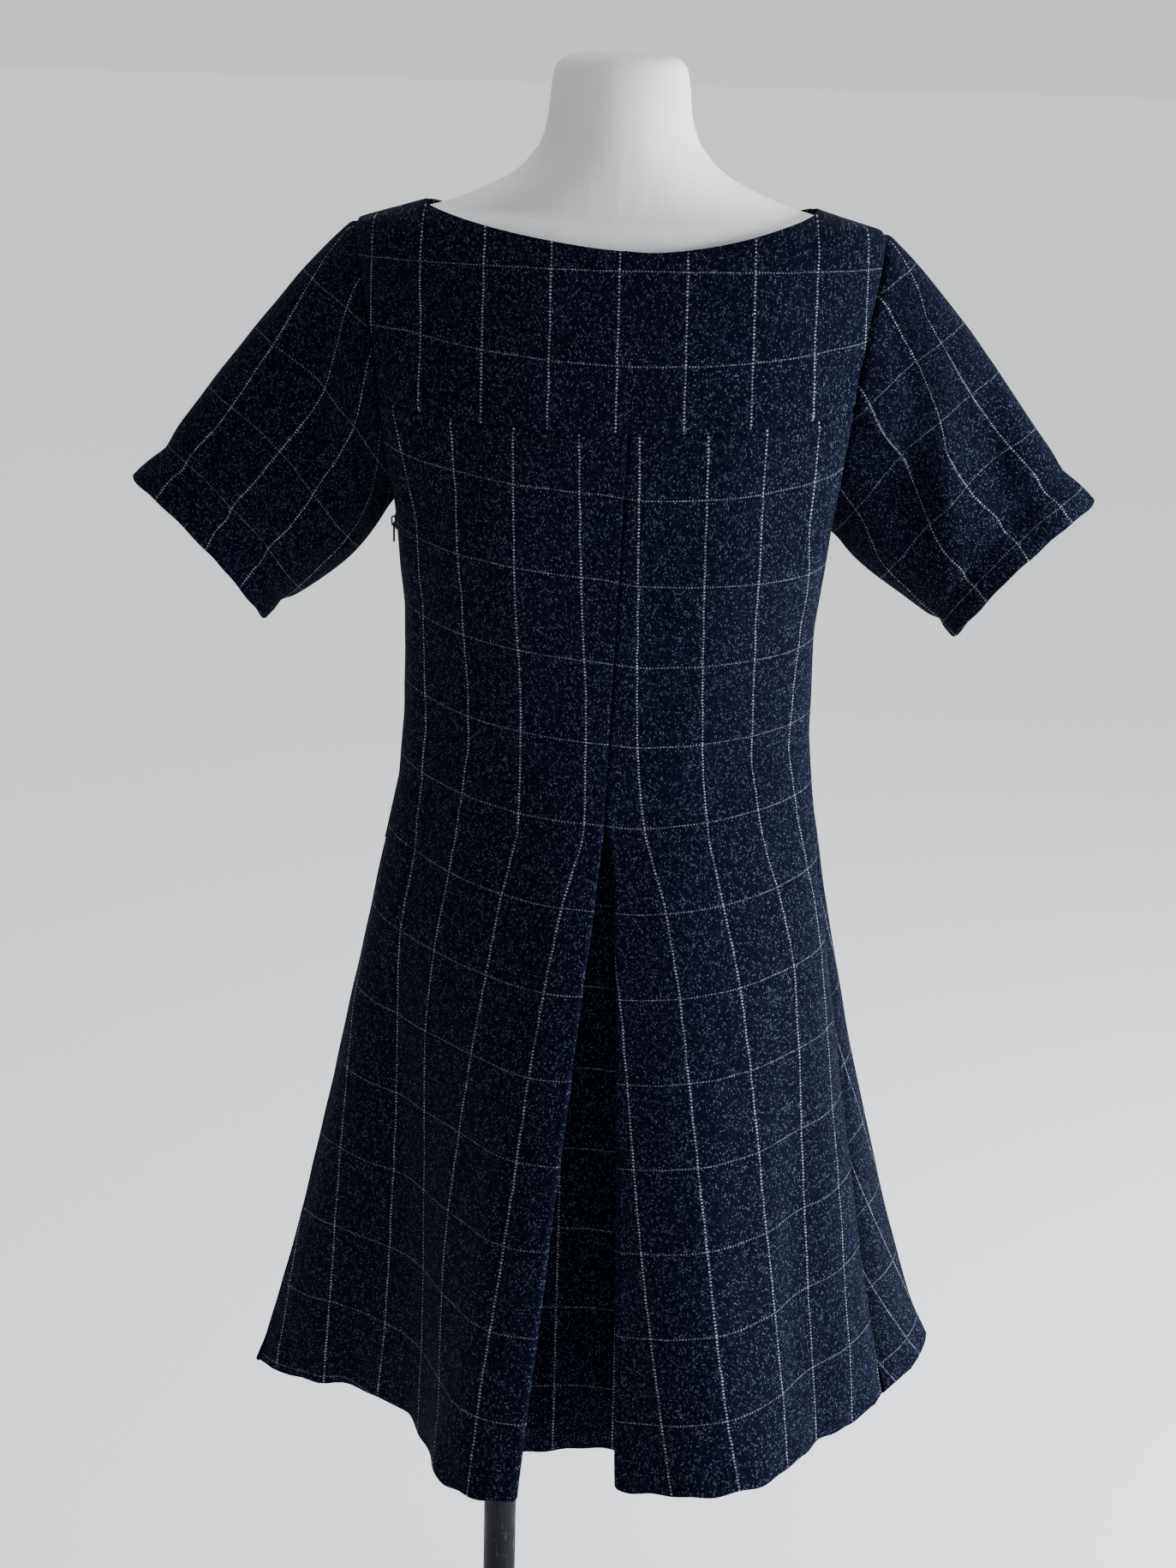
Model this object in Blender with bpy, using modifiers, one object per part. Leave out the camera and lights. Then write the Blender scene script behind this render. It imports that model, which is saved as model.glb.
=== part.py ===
"""A short-sleeved wool dress on a limbless dress form with a pole stand, metres, +Z up.

The front of the dress faces -Y, its back +Y, and the wearer's left is +X. Each cut piece of cloth is a
closed wall worked out from plan sections at named heights. Pieces meet SEAM_GAP apart, edge to edge.
"""

import math

import bmesh
import bpy
import numpy as np

# Cloth
WALL = 0.0018
HEM_WALL = 0.0030
SEAM_GAP = 0.0003
HEM_DEPTH = 0.030
LEAST_MITRE = 0.5

# Heights above the floor
HEM = 0.440
PLEAT_OPENS = 0.888
WAIST = 0.930
EMPIRE_SEAM = 1.0576
ARMPIT = 1.135
YOKE_SEAM = 1.2135
SHOULDER_POINT = 1.342
NECK_POINT = 1.3574

# Widths
NECK_HALF_WIDTH = 0.139
SHOULDER_HALF_WIDTH = 0.188
YOKE_SEAM_RISE = 0.0115
BACK_NECK_LOW = 1.333
BACK_NECK_LOW_ACROSS = -0.020
FRONT_NECK_LOW = 1.316
NECK_CURVE = 1.65

# The dress from the waist up: plan sections, each a rounded oblong
BODY_COLUMNS = ("height", "half_width", "back", "front", "power")
BODY_SECTIONS = (
    (0.930, 0.1565, 0.0860, 0.1080, 2.30),
    (0.960, 0.1535, 0.0855, 0.1065, 2.35),
    (1.000, 0.1515, 0.0870, 0.1065, 2.40),
    (1.050, 0.1515, 0.0920, 0.1090, 2.50),
    (1.090, 0.1545, 0.0970, 0.1140, 2.70),
    (1.135, 0.1590, 0.1030, 0.1200, 2.90),
    (1.145, 0.1602, 0.1040, 0.1195, 2.80),
    (1.155, 0.1619, 0.1050, 0.1190, 2.70),
    (1.170, 0.1662, 0.1062, 0.1180, 2.65),
    (1.190, 0.1715, 0.1070, 0.1155, 2.60),
    (1.2135, 0.1775, 0.1070, 0.1120, 2.50),
    (1.260, 0.1860, 0.1010, 0.1000, 2.40),
    (1.300, 0.1925, 0.0920, 0.0880, 2.30),
    (1.325, 0.1940, 0.0810, 0.0760, 2.30),
    (1.342, 0.1880, 0.0730, 0.0670, 2.30),
    (1.3574, 0.1390, 0.0620, 0.0560, 2.30),
)

# Where the armhole lies across the body, by height
ARMHOLE_COLUMNS = ("height", "half_width")
ARMHOLE = (
    (1.135, 0.1590),
    (1.145, 0.1600),
    (1.155, 0.1611),
    (1.170, 0.1631),
    (1.190, 0.1654),
    (1.2135, 0.1680),
    (1.260, 0.1742),
    (1.300, 0.1810),
    (1.342, 0.1880),
)

# How far the dress hangs askew: the rise of a point for each metre that it lies to the left
TILT_COLUMNS = ("height", "rise")
TILT = ((0.440, -0.064), (0.930, 0.0), (1.068, 0.040), (1.135, 0.050), (1.2135, 0.0), (1.400, 0.0))

# The hem seen from above: one row for each lobe or hollow of the skirt
HEM_PLAN_COLUMNS = ("across", "back")
HEM_BACK_LEFT = (
    (0.273, 0.000),
    (0.249, 0.022),
    (0.180, 0.053),
    (0.147, 0.083),
    (0.120, 0.148),
    (0.101, 0.192),
    (0.078, 0.209),
    (0.054, 0.214),
)
HEM_BACK_RIGHT = (
    (0.233, 0.080),
    (0.202, 0.124),
    (0.177, 0.143),
    (0.150, 0.183),
    (0.115, 0.210),
    (0.070, 0.215),
    (0.021, 0.203),
)
HEM_FRONT = (
    (-0.233, 0.080),
    (-0.261, 0.038),
    (-0.274, -0.004),
    (-0.252, -0.062),
    (-0.205, -0.098),
    (-0.150, -0.128),
    (-0.095, -0.166),
    (-0.040, -0.172),
    (0.012, -0.158),
    (0.070, -0.172),
    (0.125, -0.162),
    (0.172, -0.124),
    (0.222, -0.096),
    (0.262, -0.050),
    (0.273, 0.000),
)
FLARE_STRAIGHT = 0.90
FLARE_KICK_POWER = 6

# The inverted box pleat
FOLD_RADIUS = 0.0015
FOLD_RADIUS_AT_HEM = 0.0050
FOLD_CLEARANCE = WALL / 2 + SEAM_GAP / 2
PLEAT_DEPTH = 0.060
PLEAT_LINE_LEAN = 0.0088
PLEAT_EDGE_LEFT = 0.0520
PLEAT_EDGE_RIGHT = 0.0190
PLEAT_EDGE_RIGHT_POWER = 0.40
INNER_FOLD_LEFT = (0.085, 0.163)
INNER_FOLD_RIGHT = (-0.060, 0.163)
UNDERLAY_HOLLOW = 0.012
TURN_POINTS = 3
RETURN_POINTS = 2
UNDERLAY_POINTS = 4

# Grid lines: fractions of the half width for the columns, heights for the rows
BACK_FRACTIONS = (1.0, 0.995, 0.972, 0.925, 0.85, 0.7394, 0.712, 0.64, 0.54, 0.43, 0.32, 0.21, 0.11)
FRONT_FRACTIONS = (1.0, 0.995, 0.972, 0.925, 0.85, 0.7394, 0.712, 0.62, 0.50, 0.34, 0.17)
ZIP_TOP = 1.127
ZIP_END = 0.880
ROWS_OVER_ARMPIT = (1.2135, 1.190, 1.160)
ROWS_UNDER_ARMPIT = (
    ARMPIT,
    ZIP_TOP,
    *np.linspace(1.100, PLEAT_OPENS, 6),
    ZIP_END,
    *np.linspace(0.850, 0.500, 9),
    HEM + HEM_DEPTH,
    0.455,
    HEM,
)
YOKE_ROWS = 10
BODICE_ROWS = 13

# Sleeves, in the plane of the shoulders: across and up
CUFF_TOP = (0.349, 1.1515)
CUFF_UNDER = (0.258, 1.0530)
CUFF_HALF_DEPTH = 0.037
CUFF_BACK_RISE = 0.013
SLEEVE_BARREL = 0.0070
SLEEVE_SAG = 0.0085
SLEEVE_BARREL_SKEW = 0.60
SLEEVE_SAG_SKEW = 0.85
SLEEVE_ROWS = (0.0, 0.05, 0.12, 0.24, 0.38, 0.52, 0.66, 0.79, 0.87, 0.90, 1.0)
SLEEVE_HEM_STARTS = 0.87
UNDERARM_LIFT = 0.0048
UNDERARM_REACH = 0.06
SLEEVE_HEM_NIP = 0.0020
SLEEVE_HEM_FLARE = 0.0030
SLEEVE_CREASE_COLUMNS = ("round", "inward", "width", "starts", "ends")
SLEEVE_CREASES = (
    (0.34, 0.010, 0.085, 0.02, 0.85),
    (0.17, 0.006, 0.050, 0.00, 0.45),
    (0.66, 0.007, 0.080, 0.05, 0.70),
)

# Zip in the left side seam
ZIP_SETBACK = 0.0042
CHAIN_HALF_WIDTH = 0.0039
SLIDER_HEIGHT = 0.0120
SLIDER_WIDTH = 0.0086
SLIDER_THICK = 0.0016
SLIDER_MIDDLE = 1.1185
SLIDER_SEAT = 0.023
CROWN_WIDTH = 0.0024
CROWN_BAND = 0.0010
CROWN_HOLE_DEEP = 0.0020
CROWN_HOLE_LONG = 0.0052
TAB_WIDTH = 0.0054
TAB_LENGTH = 0.0150
TAB_THICK = 0.0012
TAB_EYE_LENGTH = 0.0032

# Dress form: how far its neck stands off the middle, and plan sections as for the body
NECK_SHIFT = 0.0025
NECK_STARTS = 1.365
NECK_HEIGHT = 1.420
FORM_SECTIONS = (
    (0.690, 0.1520, 0.0860, 0.0840, 2.2),
    (0.740, 0.1630, 0.0905, 0.0920, 2.2),
    (0.790, 0.1610, 0.0860, 0.0910, 2.2),
    (0.850, 0.1480, 0.0760, 0.0850, 2.2),
    (0.910, 0.1290, 0.0690, 0.0790, 2.2),
    (0.960, 0.1190, 0.0670, 0.0770, 2.2),
    (1.010, 0.1210, 0.0700, 0.0810, 2.2),
    (1.060, 0.1310, 0.0770, 0.0920, 2.2),
    (1.110, 0.1420, 0.0850, 0.1060, 2.2),
    (1.150, 0.1500, 0.0890, 0.1100, 2.2),
    (1.190, 0.1590, 0.0925, 0.1060, 2.2),
    (1.230, 0.1690, 0.0935, 0.0960, 2.2),
    (1.270, 0.1760, 0.0900, 0.0850, 2.2),
    (1.300, 0.1800, 0.0840, 0.0750, 2.2),
    (1.320, 0.1805, 0.0760, 0.0672, 2.2),
    (1.333, 0.1800, 0.0710, 0.0615, 2.2),
    (1.3395, 0.1780, 0.0680, 0.0585, 2.2),
    (1.3435, 0.1745, 0.0655, 0.0562, 2.2),
    (1.3477, 0.1655, 0.0620, 0.0530, 2.2),
    (1.3509, 0.1525, 0.0580, 0.0495, 2.2),
    (1.3538, 0.1380, 0.0542, 0.0465, 2.2),
    (1.3595, 0.1190, 0.0530, 0.0465, 2.2),
    (1.3680, 0.0980, 0.0530, 0.0480, 2.1),
    (1.3790, 0.0765, 0.0520, 0.0500, 2.1),
    (1.3910, 0.0635, 0.0500, 0.0510, 2.0),
    (1.4050, 0.0545, 0.0475, 0.0530, 2.0),
    (1.4210, 0.0505, 0.0440, 0.0560, 2.0),
    (1.4400, 0.0485, 0.0390, 0.0600, 2.0),
    (1.4510, 0.0465, 0.0345, 0.0605, 2.0),
    (1.4580, 0.0410, 0.0285, 0.0565, 2.0),
    (1.4610, 0.0310, 0.0190, 0.0470, 2.0),
)
FORM_SIDES = 36

# Stand
POLE_ACROSS = 0.0708
POLE_RADIUS = 0.0133
FLANGE_RADIUS = 0.038
FLANGE_THICK = 0.006
FLANGE_COLLAR = 0.024
COLLAR_RADIUS = 0.0185
COLLAR_BORE = POLE_RADIUS + 0.0003
BASE_RADIUS = 0.190
BASE_THICK = 0.012
FOOT_COLLAR = 0.045
STAND_SIDES = 36


def column(table, names, name):
    """One named column of a table."""
    return np.array([row[names.index(name)] for row in table], float)


def smooth(x, xs, ys):
    """A curve without overshoot through the points of a table, read at x."""
    x = np.clip(np.asarray(x, float), xs[0], xs[-1])
    step = np.diff(xs)
    rise = np.diff(ys) / step
    slope = np.zeros(len(xs))
    same = rise[:-1] * rise[1:] > 0
    slope[1:-1][same] = 2 * (rise[:-1] * rise[1:])[same] / (rise[:-1] + rise[1:])[same]
    slope[0], slope[-1] = rise[0], rise[-1]
    k = np.clip(np.searchsorted(xs, x) - 1, 0, len(step) - 1)
    t = (x - xs[k]) / step[k]
    start = ys[k] * (1 + 2 * t) * (1 - t) ** 2 + slope[k] * step[k] * t * (1 - t) ** 2
    end = ys[k + 1] * t * t * (3 - 2 * t) + slope[k + 1] * step[k] * t * t * (t - 1)
    return start + end


def section(height, name, table=BODY_SECTIONS):
    """One size of the plan section at a height."""
    return smooth(height, column(table, BODY_COLUMNS, "height"), column(table, BODY_COLUMNS, name))


def depth_at(across, height, face):
    """How far the dress stands behind or before the shoulder line, at a point across it."""
    power = section(height, "power")
    left_over = 1 - np.minimum(np.abs(across) / section(height, "half_width"), 1) ** power
    sign = 1 if face == "back" else -1
    return sign * section(height, face) * left_over ** (1 / power)


def armhole_width(height):
    """Half the width between the armholes at a height."""
    heights = column(ARMHOLE, ARMHOLE_COLUMNS, "height")
    return smooth(height, heights, column(ARMHOLE, ARMHOLE_COLUMNS, "half_width"))


def edge_width(height):
    """Half the width of a body piece: to the side seam under the armpit, to the armhole over it."""
    return armhole_width(height) if height > ARMPIT else section(height, "half_width")


def tilted(points):
    """The points with the dress's slight lean, which lowers its hem on the left."""
    heights = column(TILT, TILT_COLUMNS, "height")
    rise = smooth(points[..., 2], heights, column(TILT, TILT_COLUMNS, "rise"))
    moved = points.copy()
    moved[..., 2] += rise * points[..., 0]
    return moved


def along(points, fractions):
    """Points at the given fractions of a polyline's length."""
    travelled = np.concatenate([[0], np.cumsum(np.linalg.norm(np.diff(points, axis=0), axis=1))])
    wanted = np.asarray(fractions) * travelled[-1]
    return np.stack([np.interp(wanted, travelled, values) for values in points.T], axis=1)


def spline(table, steps=12):
    """A smooth plan curve through the rows of a table."""
    points = np.array(table, float)
    knots = np.concatenate([[0], np.cumsum(np.linalg.norm(np.diff(points, axis=0), axis=1))])
    fine = np.interp(np.arange((len(points) - 1) * steps + 1) / steps, np.arange(len(points)), knots)
    tangents = np.gradient(points, knots, axis=0)
    k = np.clip(np.searchsorted(knots, fine, side="right") - 1, 0, len(points) - 2)
    width = (knots[k + 1] - knots[k])[:, None]
    t = ((fine - knots[k]) / width[:, 0])[:, None]
    near = points[k] * (1 + 2 * t) * (1 - t) ** 2 + tangents[k] * width * t * (1 - t) ** 2
    far = points[k + 1] * t * t * (3 - 2 * t) + tangents[k + 1] * width * t * t * (t - 1)
    return near + far


def flare(height):
    """How far the skirt has opened from its waist section, 0, to its hem plan, 1."""
    down = (WAIST - height) / (WAIST - HEM)
    return FLARE_STRAIGHT * down + (1 - FLARE_STRAIGHT) * down**FLARE_KICK_POWER


def opened(height):
    """How far the pleat has opened, from 0 where its stitching ends to 1 at the hem."""
    return max(0.0, (PLEAT_OPENS - height) / (PLEAT_OPENS - HEM))


def pleat_line(height):
    """Where the two folded edges meet, across the back."""
    return -PLEAT_LINE_LEAN * max(0.0, (height - PLEAT_OPENS) / (YOKE_SEAM - PLEAT_OPENS))


def fold_radius(height):
    """Radius of the pleat's folds: pressed flat at the top and rolling softly at the hem."""
    return FOLD_RADIUS + (FOLD_RADIUS_AT_HEM - FOLD_RADIUS) * opened(height)


def fold_edge(height, side):
    """Where the folded edge of the flap on one side (1 left, -1 right) lies, across the back."""
    if side > 0:
        return pleat_line(height) + PLEAT_EDGE_LEFT * opened(height) + FOLD_CLEARANCE
    swung = PLEAT_EDGE_RIGHT * opened(height) ** PLEAT_EDGE_RIGHT_POWER
    return pleat_line(height) - swung - FOLD_CLEARANCE


def plan_row(height, fractions, side, face, inner):
    """Plan points of a row on one half of the body, from its side edge to its inner end."""
    across = np.append(np.array(fractions) * edge_width(height), inner * side) * side
    return np.stack([across, depth_at(across, height, face)], axis=1)


def flap_row(height, side):
    """Plan points of a back flap at a height, from the side edge to the end of the flap."""
    end = fold_edge(height, side) + side * fold_radius(height)
    if height >= WAIST:
        return plan_row(height, BACK_FRACTIONS, side, "back", end)
    waist = plan_row(WAIST, BACK_FRACTIONS, side, "back", fold_edge(WAIST, side) + side * FOLD_RADIUS)
    lengths = np.cumsum(np.linalg.norm(np.diff(waist, axis=0), axis=1))
    fractions = np.concatenate([[0], lengths / lengths[-1]])
    table = HEM_BACK_LEFT if side > 0 else [(-across, back) for across, back in HEM_BACK_RIGHT]
    points = waist + (along(spline(table), fractions) - waist) * flare(height)
    towards_edge = np.clip((fractions - 0.5) / 0.5, 0, 1)
    points[:, 0] += (end - points[-1, 0]) * towards_edge**2 * (3 - 2 * towards_edge)
    return points


def front_row(height):
    """Plan points of the front at a height, from the right side edge to the left one."""
    fractions = np.concatenate([FRONT_FRACTIONS, [0], -np.array(FRONT_FRACTIONS[::-1])])
    at = max(height, WAIST)
    across = -fractions * edge_width(at)
    waist = np.stack([across, depth_at(across, at, "front")], axis=1)
    if height >= WAIST:
        return waist
    lengths = np.cumsum(np.linalg.norm(np.diff(waist, axis=0), axis=1))
    hem = along(spline(HEM_FRONT), np.concatenate([[0], lengths / lengths[-1]]))
    return waist + (hem - waist) * flare(height)


def turned(direction, angle):
    """A plan direction turned counterclockwise by an angle."""
    x, y = direction
    cosine, sine = math.cos(angle), math.sin(angle)
    return np.array([cosine * x - sine * y, sine * x + cosine * y])


def turn(centre, travel, inward, sweep, radius):
    """Points of a fold: the path leaves along travel and bends towards inward through the sweep."""
    angles = sweep * np.arange(TURN_POINTS + 1) / TURN_POINTS
    return np.array([centre + radius * (math.sin(a) * travel - math.cos(a) * inward) for a in angles])


def half_pleat(flap, inner_centre, underlay_travel, radius):
    """The folded edge, the layer that goes back under the flap, and the inner fold, for a left flap."""
    travel = flap[-1] - flap[-2]
    travel = travel / np.linalg.norm(travel)
    inward = turned(travel, math.pi / 2)
    edge_centre = flap[-1] + inward * radius
    between = inner_centre - edge_centre
    span = np.linalg.norm(between)
    back = turned(between / span, math.asin(min(1, 2 * radius / span)))
    sweep = math.atan2(back @ inward, back @ travel) % (2 * math.pi)
    edge = turn(edge_centre, travel, inward, sweep, radius)[1:]
    under = turned(back, -math.pi / 2)
    inner_sweep = math.atan2(underlay_travel @ under, underlay_travel @ back) % (2 * math.pi)
    inner = turn(inner_centre, back, under, inner_sweep, radius)
    steps = (np.arange(RETURN_POINTS) + 1)[:, None] / (RETURN_POINTS + 1)
    layer = edge[-1] + (inner[0] - edge[-1]) * steps
    return np.concatenate([edge, layer, inner])


def inner_fold(height, side):
    """Centre of the inner fold of the pleat on one side."""
    at = max(height, PLEAT_OPENS)
    across = pleat_line(at) + side * PLEAT_DEPTH
    closed = np.array([across, depth_at(across, at, "back") - 3 * FOLD_RADIUS])
    hem = np.array(INNER_FOLD_LEFT if side > 0 else INNER_FOLD_RIGHT)
    return closed + (hem - closed) * opened(height)


def pleat_row(height, left, right):
    """Plan points between the two flaps: left fold, layer, inner fold, underlay, and the same back."""
    radius = fold_radius(height)
    mirror = np.array([-1, 1])
    centres = {side: inner_fold(height, side) for side in (1, -1)}
    travel = centres[-1] - centres[1]
    travel = travel / np.linalg.norm(travel)
    first = half_pleat(left, centres[1], travel, radius)
    second = half_pleat(right * mirror, centres[-1] * mirror, -travel * mirror, radius) * mirror
    at = max(height, PLEAT_OPENS)
    middle, end = depth_at(np.array([0, PLEAT_DEPTH]), at, "back")
    bulge = 0.7 * (middle - end) * (1 - opened(height)) - UNDERLAY_HOLLOW * opened(height)
    steps = (np.arange(UNDERLAY_POINTS) + 1) / (UNDERLAY_POINTS + 1)
    underlay = first[-1] + (second[-1] - first[-1]) * steps[:, None]
    underlay[:, 1] += bulge * 4 * steps * (1 - steps)
    return np.concatenate([first, underlay, second[::-1]])


def at_height(plan, height):
    """Plan points of a row set at a height, the top rows following the curved yoke seam."""
    up = max(0.0, (height - ARMPIT) / (YOKE_SEAM - ARMPIT))
    rise = YOKE_SEAM_RISE * up * (plan[:, 0] / armhole_width(YOKE_SEAM)) ** 2
    return np.column_stack([plan, height + rise])


def back_panel_grid():
    """The lower back, one cut piece: left flap, box pleat, right flap; rows from the yoke seam down."""
    rows = []
    for height in (*ROWS_OVER_ARMPIT, *ROWS_UNDER_ARMPIT):
        left, right = flap_row(height, 1), flap_row(height, -1)
        plan = np.concatenate([left, pleat_row(height, left, right), right[::-1]])
        rows.append(at_height(plan, height))
    return tilted(np.array(rows))


def rising_columns(start, fractions, face, count):
    """Columns of a piece that runs up over the shoulder, from its lowest row (rows top first)."""
    low, curve = (BACK_NECK_LOW, BACK_NECK_LOW_ACROSS) if face == "back" else (FRONT_NECK_LOW, 0.0)
    grid = []
    for first, fraction in zip(start, fractions, strict=True):
        across = fraction * SHOULDER_HALF_WIDTH
        if abs(across) >= NECK_HALF_WIDTH - 1e-6:
            rest = (abs(across) - NECK_HALF_WIDTH) / (SHOULDER_HALF_WIDTH - NECK_HALF_WIDTH)
            top = NECK_POINT + (SHOULDER_POINT - NECK_POINT) * rest
        else:
            reach = abs((across - curve) / (math.copysign(NECK_HALF_WIDTH, across) - curve))
            top = low + (NECK_POINT - low) * min(1, reach) ** NECK_CURVE
        up = np.linspace(0, 1, 120)
        heights = first[2] + (top - first[2]) * (1 - (1 - up) ** 2)
        widths = fraction * armhole_width(heights)
        widths = widths + (first[0] - widths[0]) * (1 - up) ** 2
        depths = depth_at(widths, heights, face)
        if top > SHOULDER_POINT - 1e-6 and abs(across) >= NECK_HALF_WIDTH - 1e-6:
            depths[-1] = 0.0
        grid.append(along(np.stack([widths, depths, heights], axis=1), np.linspace(1, 0, count)))
    return np.array(grid).transpose(1, 0, 2)


def seam_fractions():
    """Fractions of the half width of the flaps' columns at the yoke seam, left to right."""
    row = [flap_row(YOKE_SEAM, side)[:, 0] / edge_width(YOKE_SEAM) for side in (1, -1)]
    return np.concatenate([row[0], row[1][::-1]])


def back_yoke_grid():
    """The back yoke, from the neckline and shoulder seams down to the yoke seam."""
    left, right = flap_row(YOKE_SEAM, 1), flap_row(YOKE_SEAM, -1)
    seam = at_height(np.concatenate([left, right[::-1]]), YOKE_SEAM)
    return tilted(rising_columns(seam, seam_fractions(), "back", YOKE_ROWS + 1))


def front_fractions():
    """Fractions of the half width of the front's columns, right to left as worn."""
    return -np.concatenate([FRONT_FRACTIONS, [0], -np.array(FRONT_FRACTIONS[::-1])])


def front_bodice_grid():
    """The front from the shoulders and neckline to the empire seam."""
    armpit = np.column_stack([front_row(ARMPIT), np.full(len(front_fractions()), ARMPIT)])
    upper = rising_columns(armpit, front_fractions(), "front", BODICE_ROWS + 1)
    lower = [
        np.column_stack([front_row(height), np.full(len(armpit), height)])
        for height in ROWS_UNDER_ARMPIT
        if EMPIRE_SEAM - 1e-6 < height < ARMPIT
    ]
    return tilted(np.concatenate([upper, lower]))


def front_skirt_grid():
    """The front from the empire seam to the hem."""
    heights = [height for height in ROWS_UNDER_ARMPIT if height < EMPIRE_SEAM + 1e-6]
    rows = [np.column_stack([front_row(h), np.full(len(front_fractions()), h)]) for h in heights]
    return tilted(np.array(rows))


def share_around(armhole):
    """How far round an armhole each of its points lies: 0 at the armpit, 0.5 at the shoulder."""
    length = np.linalg.norm(np.diff(np.concatenate([armhole, armhole[:1]]), axis=0), axis=1)
    top = int(np.argmax(armhole[:, 2]))
    travelled = np.concatenate([[0], np.cumsum(length)[:-1]])
    up_back = travelled / travelled[top] / 2
    down_front = 0.5 + (travelled - travelled[top]) / (length.sum() - travelled[top]) / 2
    return np.where(np.arange(len(armhole)) <= top, up_back, down_front)


def sleeve_grid(armhole, side):
    """A set-in sleeve from its armhole, a closed ring that starts at the armpit and rises up the back."""
    around = share_around(armhole)
    upper, under = np.array(CUFF_TOP), np.array(CUFF_UNDER)
    middle, reach = (upper + under) / 2, (upper - under) / 2
    up = -np.cos(2 * math.pi * around)
    out = np.sin(2 * math.pi * around)
    across, rise = middle[0] + reach[0] * up, middle[1] + reach[1] * up
    cuff = np.column_stack([side * across, CUFF_HALF_DEPTH * out, rise])
    unit = reach / np.linalg.norm(reach)
    radial = np.column_stack([side * unit[0] * up, out, unit[1] * up])
    up_sleeve = np.array([-side * unit[1], 0, unit[0]])
    back_rise = CUFF_BACK_RISE * np.maximum(out, 0) ** 1.5
    rows = []
    for t in SLEEVE_ROWS:
        crown = SLEEVE_BARREL * math.sin(math.pi * t**SLEEVE_BARREL_SKEW) ** 1.3
        sag = SLEEVE_SAG * math.sin(math.pi * t**SLEEVE_SAG_SKEW) ** 1.3
        barrel = (crown * (1 + up) + sag * (1 - up)) / 2
        nip = SLEEVE_HEM_NIP * math.exp(-(((t - SLEEVE_HEM_STARTS) / 0.03) ** 2))
        swell = SLEEVE_HEM_FLARE * max(0.0, (t - SLEEVE_HEM_STARTS) / (1 - SLEEVE_HEM_STARTS))
        folds = np.zeros(len(around))
        for place, inward, width, starts, ends in SLEEVE_CREASES:
            run = max(0.0, min(1.0, (t - starts) / (ends - starts)))
            folds += inward * math.sin(math.pi * run) ** 0.8 * np.exp(-(((around - place) / width) ** 2))
        outward = (barrel + swell - nip) * (t > 0) - folds
        row = armhole * (1 - t) + cuff * t + radial * outward[:, None]
        row += up_sleeve * back_rise[:, None] * min(1, t / SLEEVE_HEM_STARTS) ** 2
        lift = UNDERARM_LIFT * t / UNDERARM_REACH * math.exp(1 - t / UNDERARM_REACH)
        row[:, 2] += lift * np.maximum(-up, 0)
        rows.append(row)
    return np.array(rows)


def normals_of(grid, ring):
    """Outward normals of a grid: rows run down, columns run left to right as seen from outside."""
    if ring:
        across = np.roll(grid, -1, axis=1) - np.roll(grid, 1, axis=1)
    else:
        across = np.gradient(grid, axis=1)
    normals = np.cross(np.gradient(grid, axis=0), across)
    return normals / np.linalg.norm(normals, axis=2, keepdims=True)


def border_mask(grid, ring):
    """True on the edge points of a grid."""
    mask = np.zeros(grid.shape[:2], bool)
    mask[[0, -1], :] = True
    if not ring:
        mask[:, [0, -1]] = True
    return mask


def share_seam_normals(pieces):
    """Makes pieces that meet at a seam point lean their edges the same way there."""
    masks = [border_mask(piece["grid"], piece["ring"]) for piece in pieces]
    points = np.concatenate([piece["grid"][mask] for piece, mask in zip(pieces, masks, strict=True)])
    normals = np.concatenate([piece["normals"][mask] for piece, mask in zip(pieces, masks, strict=True)])
    shared = np.zeros(points.shape)
    for k, point in enumerate(points):
        meeting = normals[np.linalg.norm(points - point, axis=1) < 1e-5]
        bisector = meeting.sum(axis=0) / np.linalg.norm(meeting.sum(axis=0))
        shared[k] = bisector / max(LEAST_MITRE, (meeting @ bisector).mean())
    start = 0
    for piece, mask in zip(pieces, masks, strict=True):
        piece["normals"][mask] = shared[start : start + mask.sum()]
        start += mask.sum()


def pulled_in(grid, edge, distance):
    """The grid with one edge drawn back over the cloth by a distance, or by one for each point."""
    border, beside = {
        "top": (np.s_[0, :], np.s_[1, :]),
        "bottom": (np.s_[-1, :], np.s_[-2, :]),
        "first": (np.s_[:, 0], np.s_[:, 1]),
        "last": (np.s_[:, -1], np.s_[:, -2]),
    }[edge]
    way = grid[beside] - grid[border]
    way /= np.linalg.norm(way, axis=-1, keepdims=True)
    moved = grid.copy()
    moved[border] += way * np.broadcast_to(distance, way.shape[:1])[:, None]
    return moved


def new_material(name, colour, roughness, metallic=0.0):
    """A plain finish."""
    material = bpy.data.materials.new(name)
    material.use_nodes = True
    shader = material.node_tree.nodes["Principled BSDF"]
    shader.inputs["Base Color"].default_value = (*colour, 1)
    shader.inputs["Roughness"].default_value = roughness
    shader.inputs["Metallic"].default_value = metallic
    return material


def add_object(name, mesh, material):
    """Puts a mesh into the part's collection."""
    piece = bpy.data.objects.new(name, mesh)
    piece.data.materials.append(material)
    bpy.data.collections[PART].objects.link(piece)
    return piece


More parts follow.
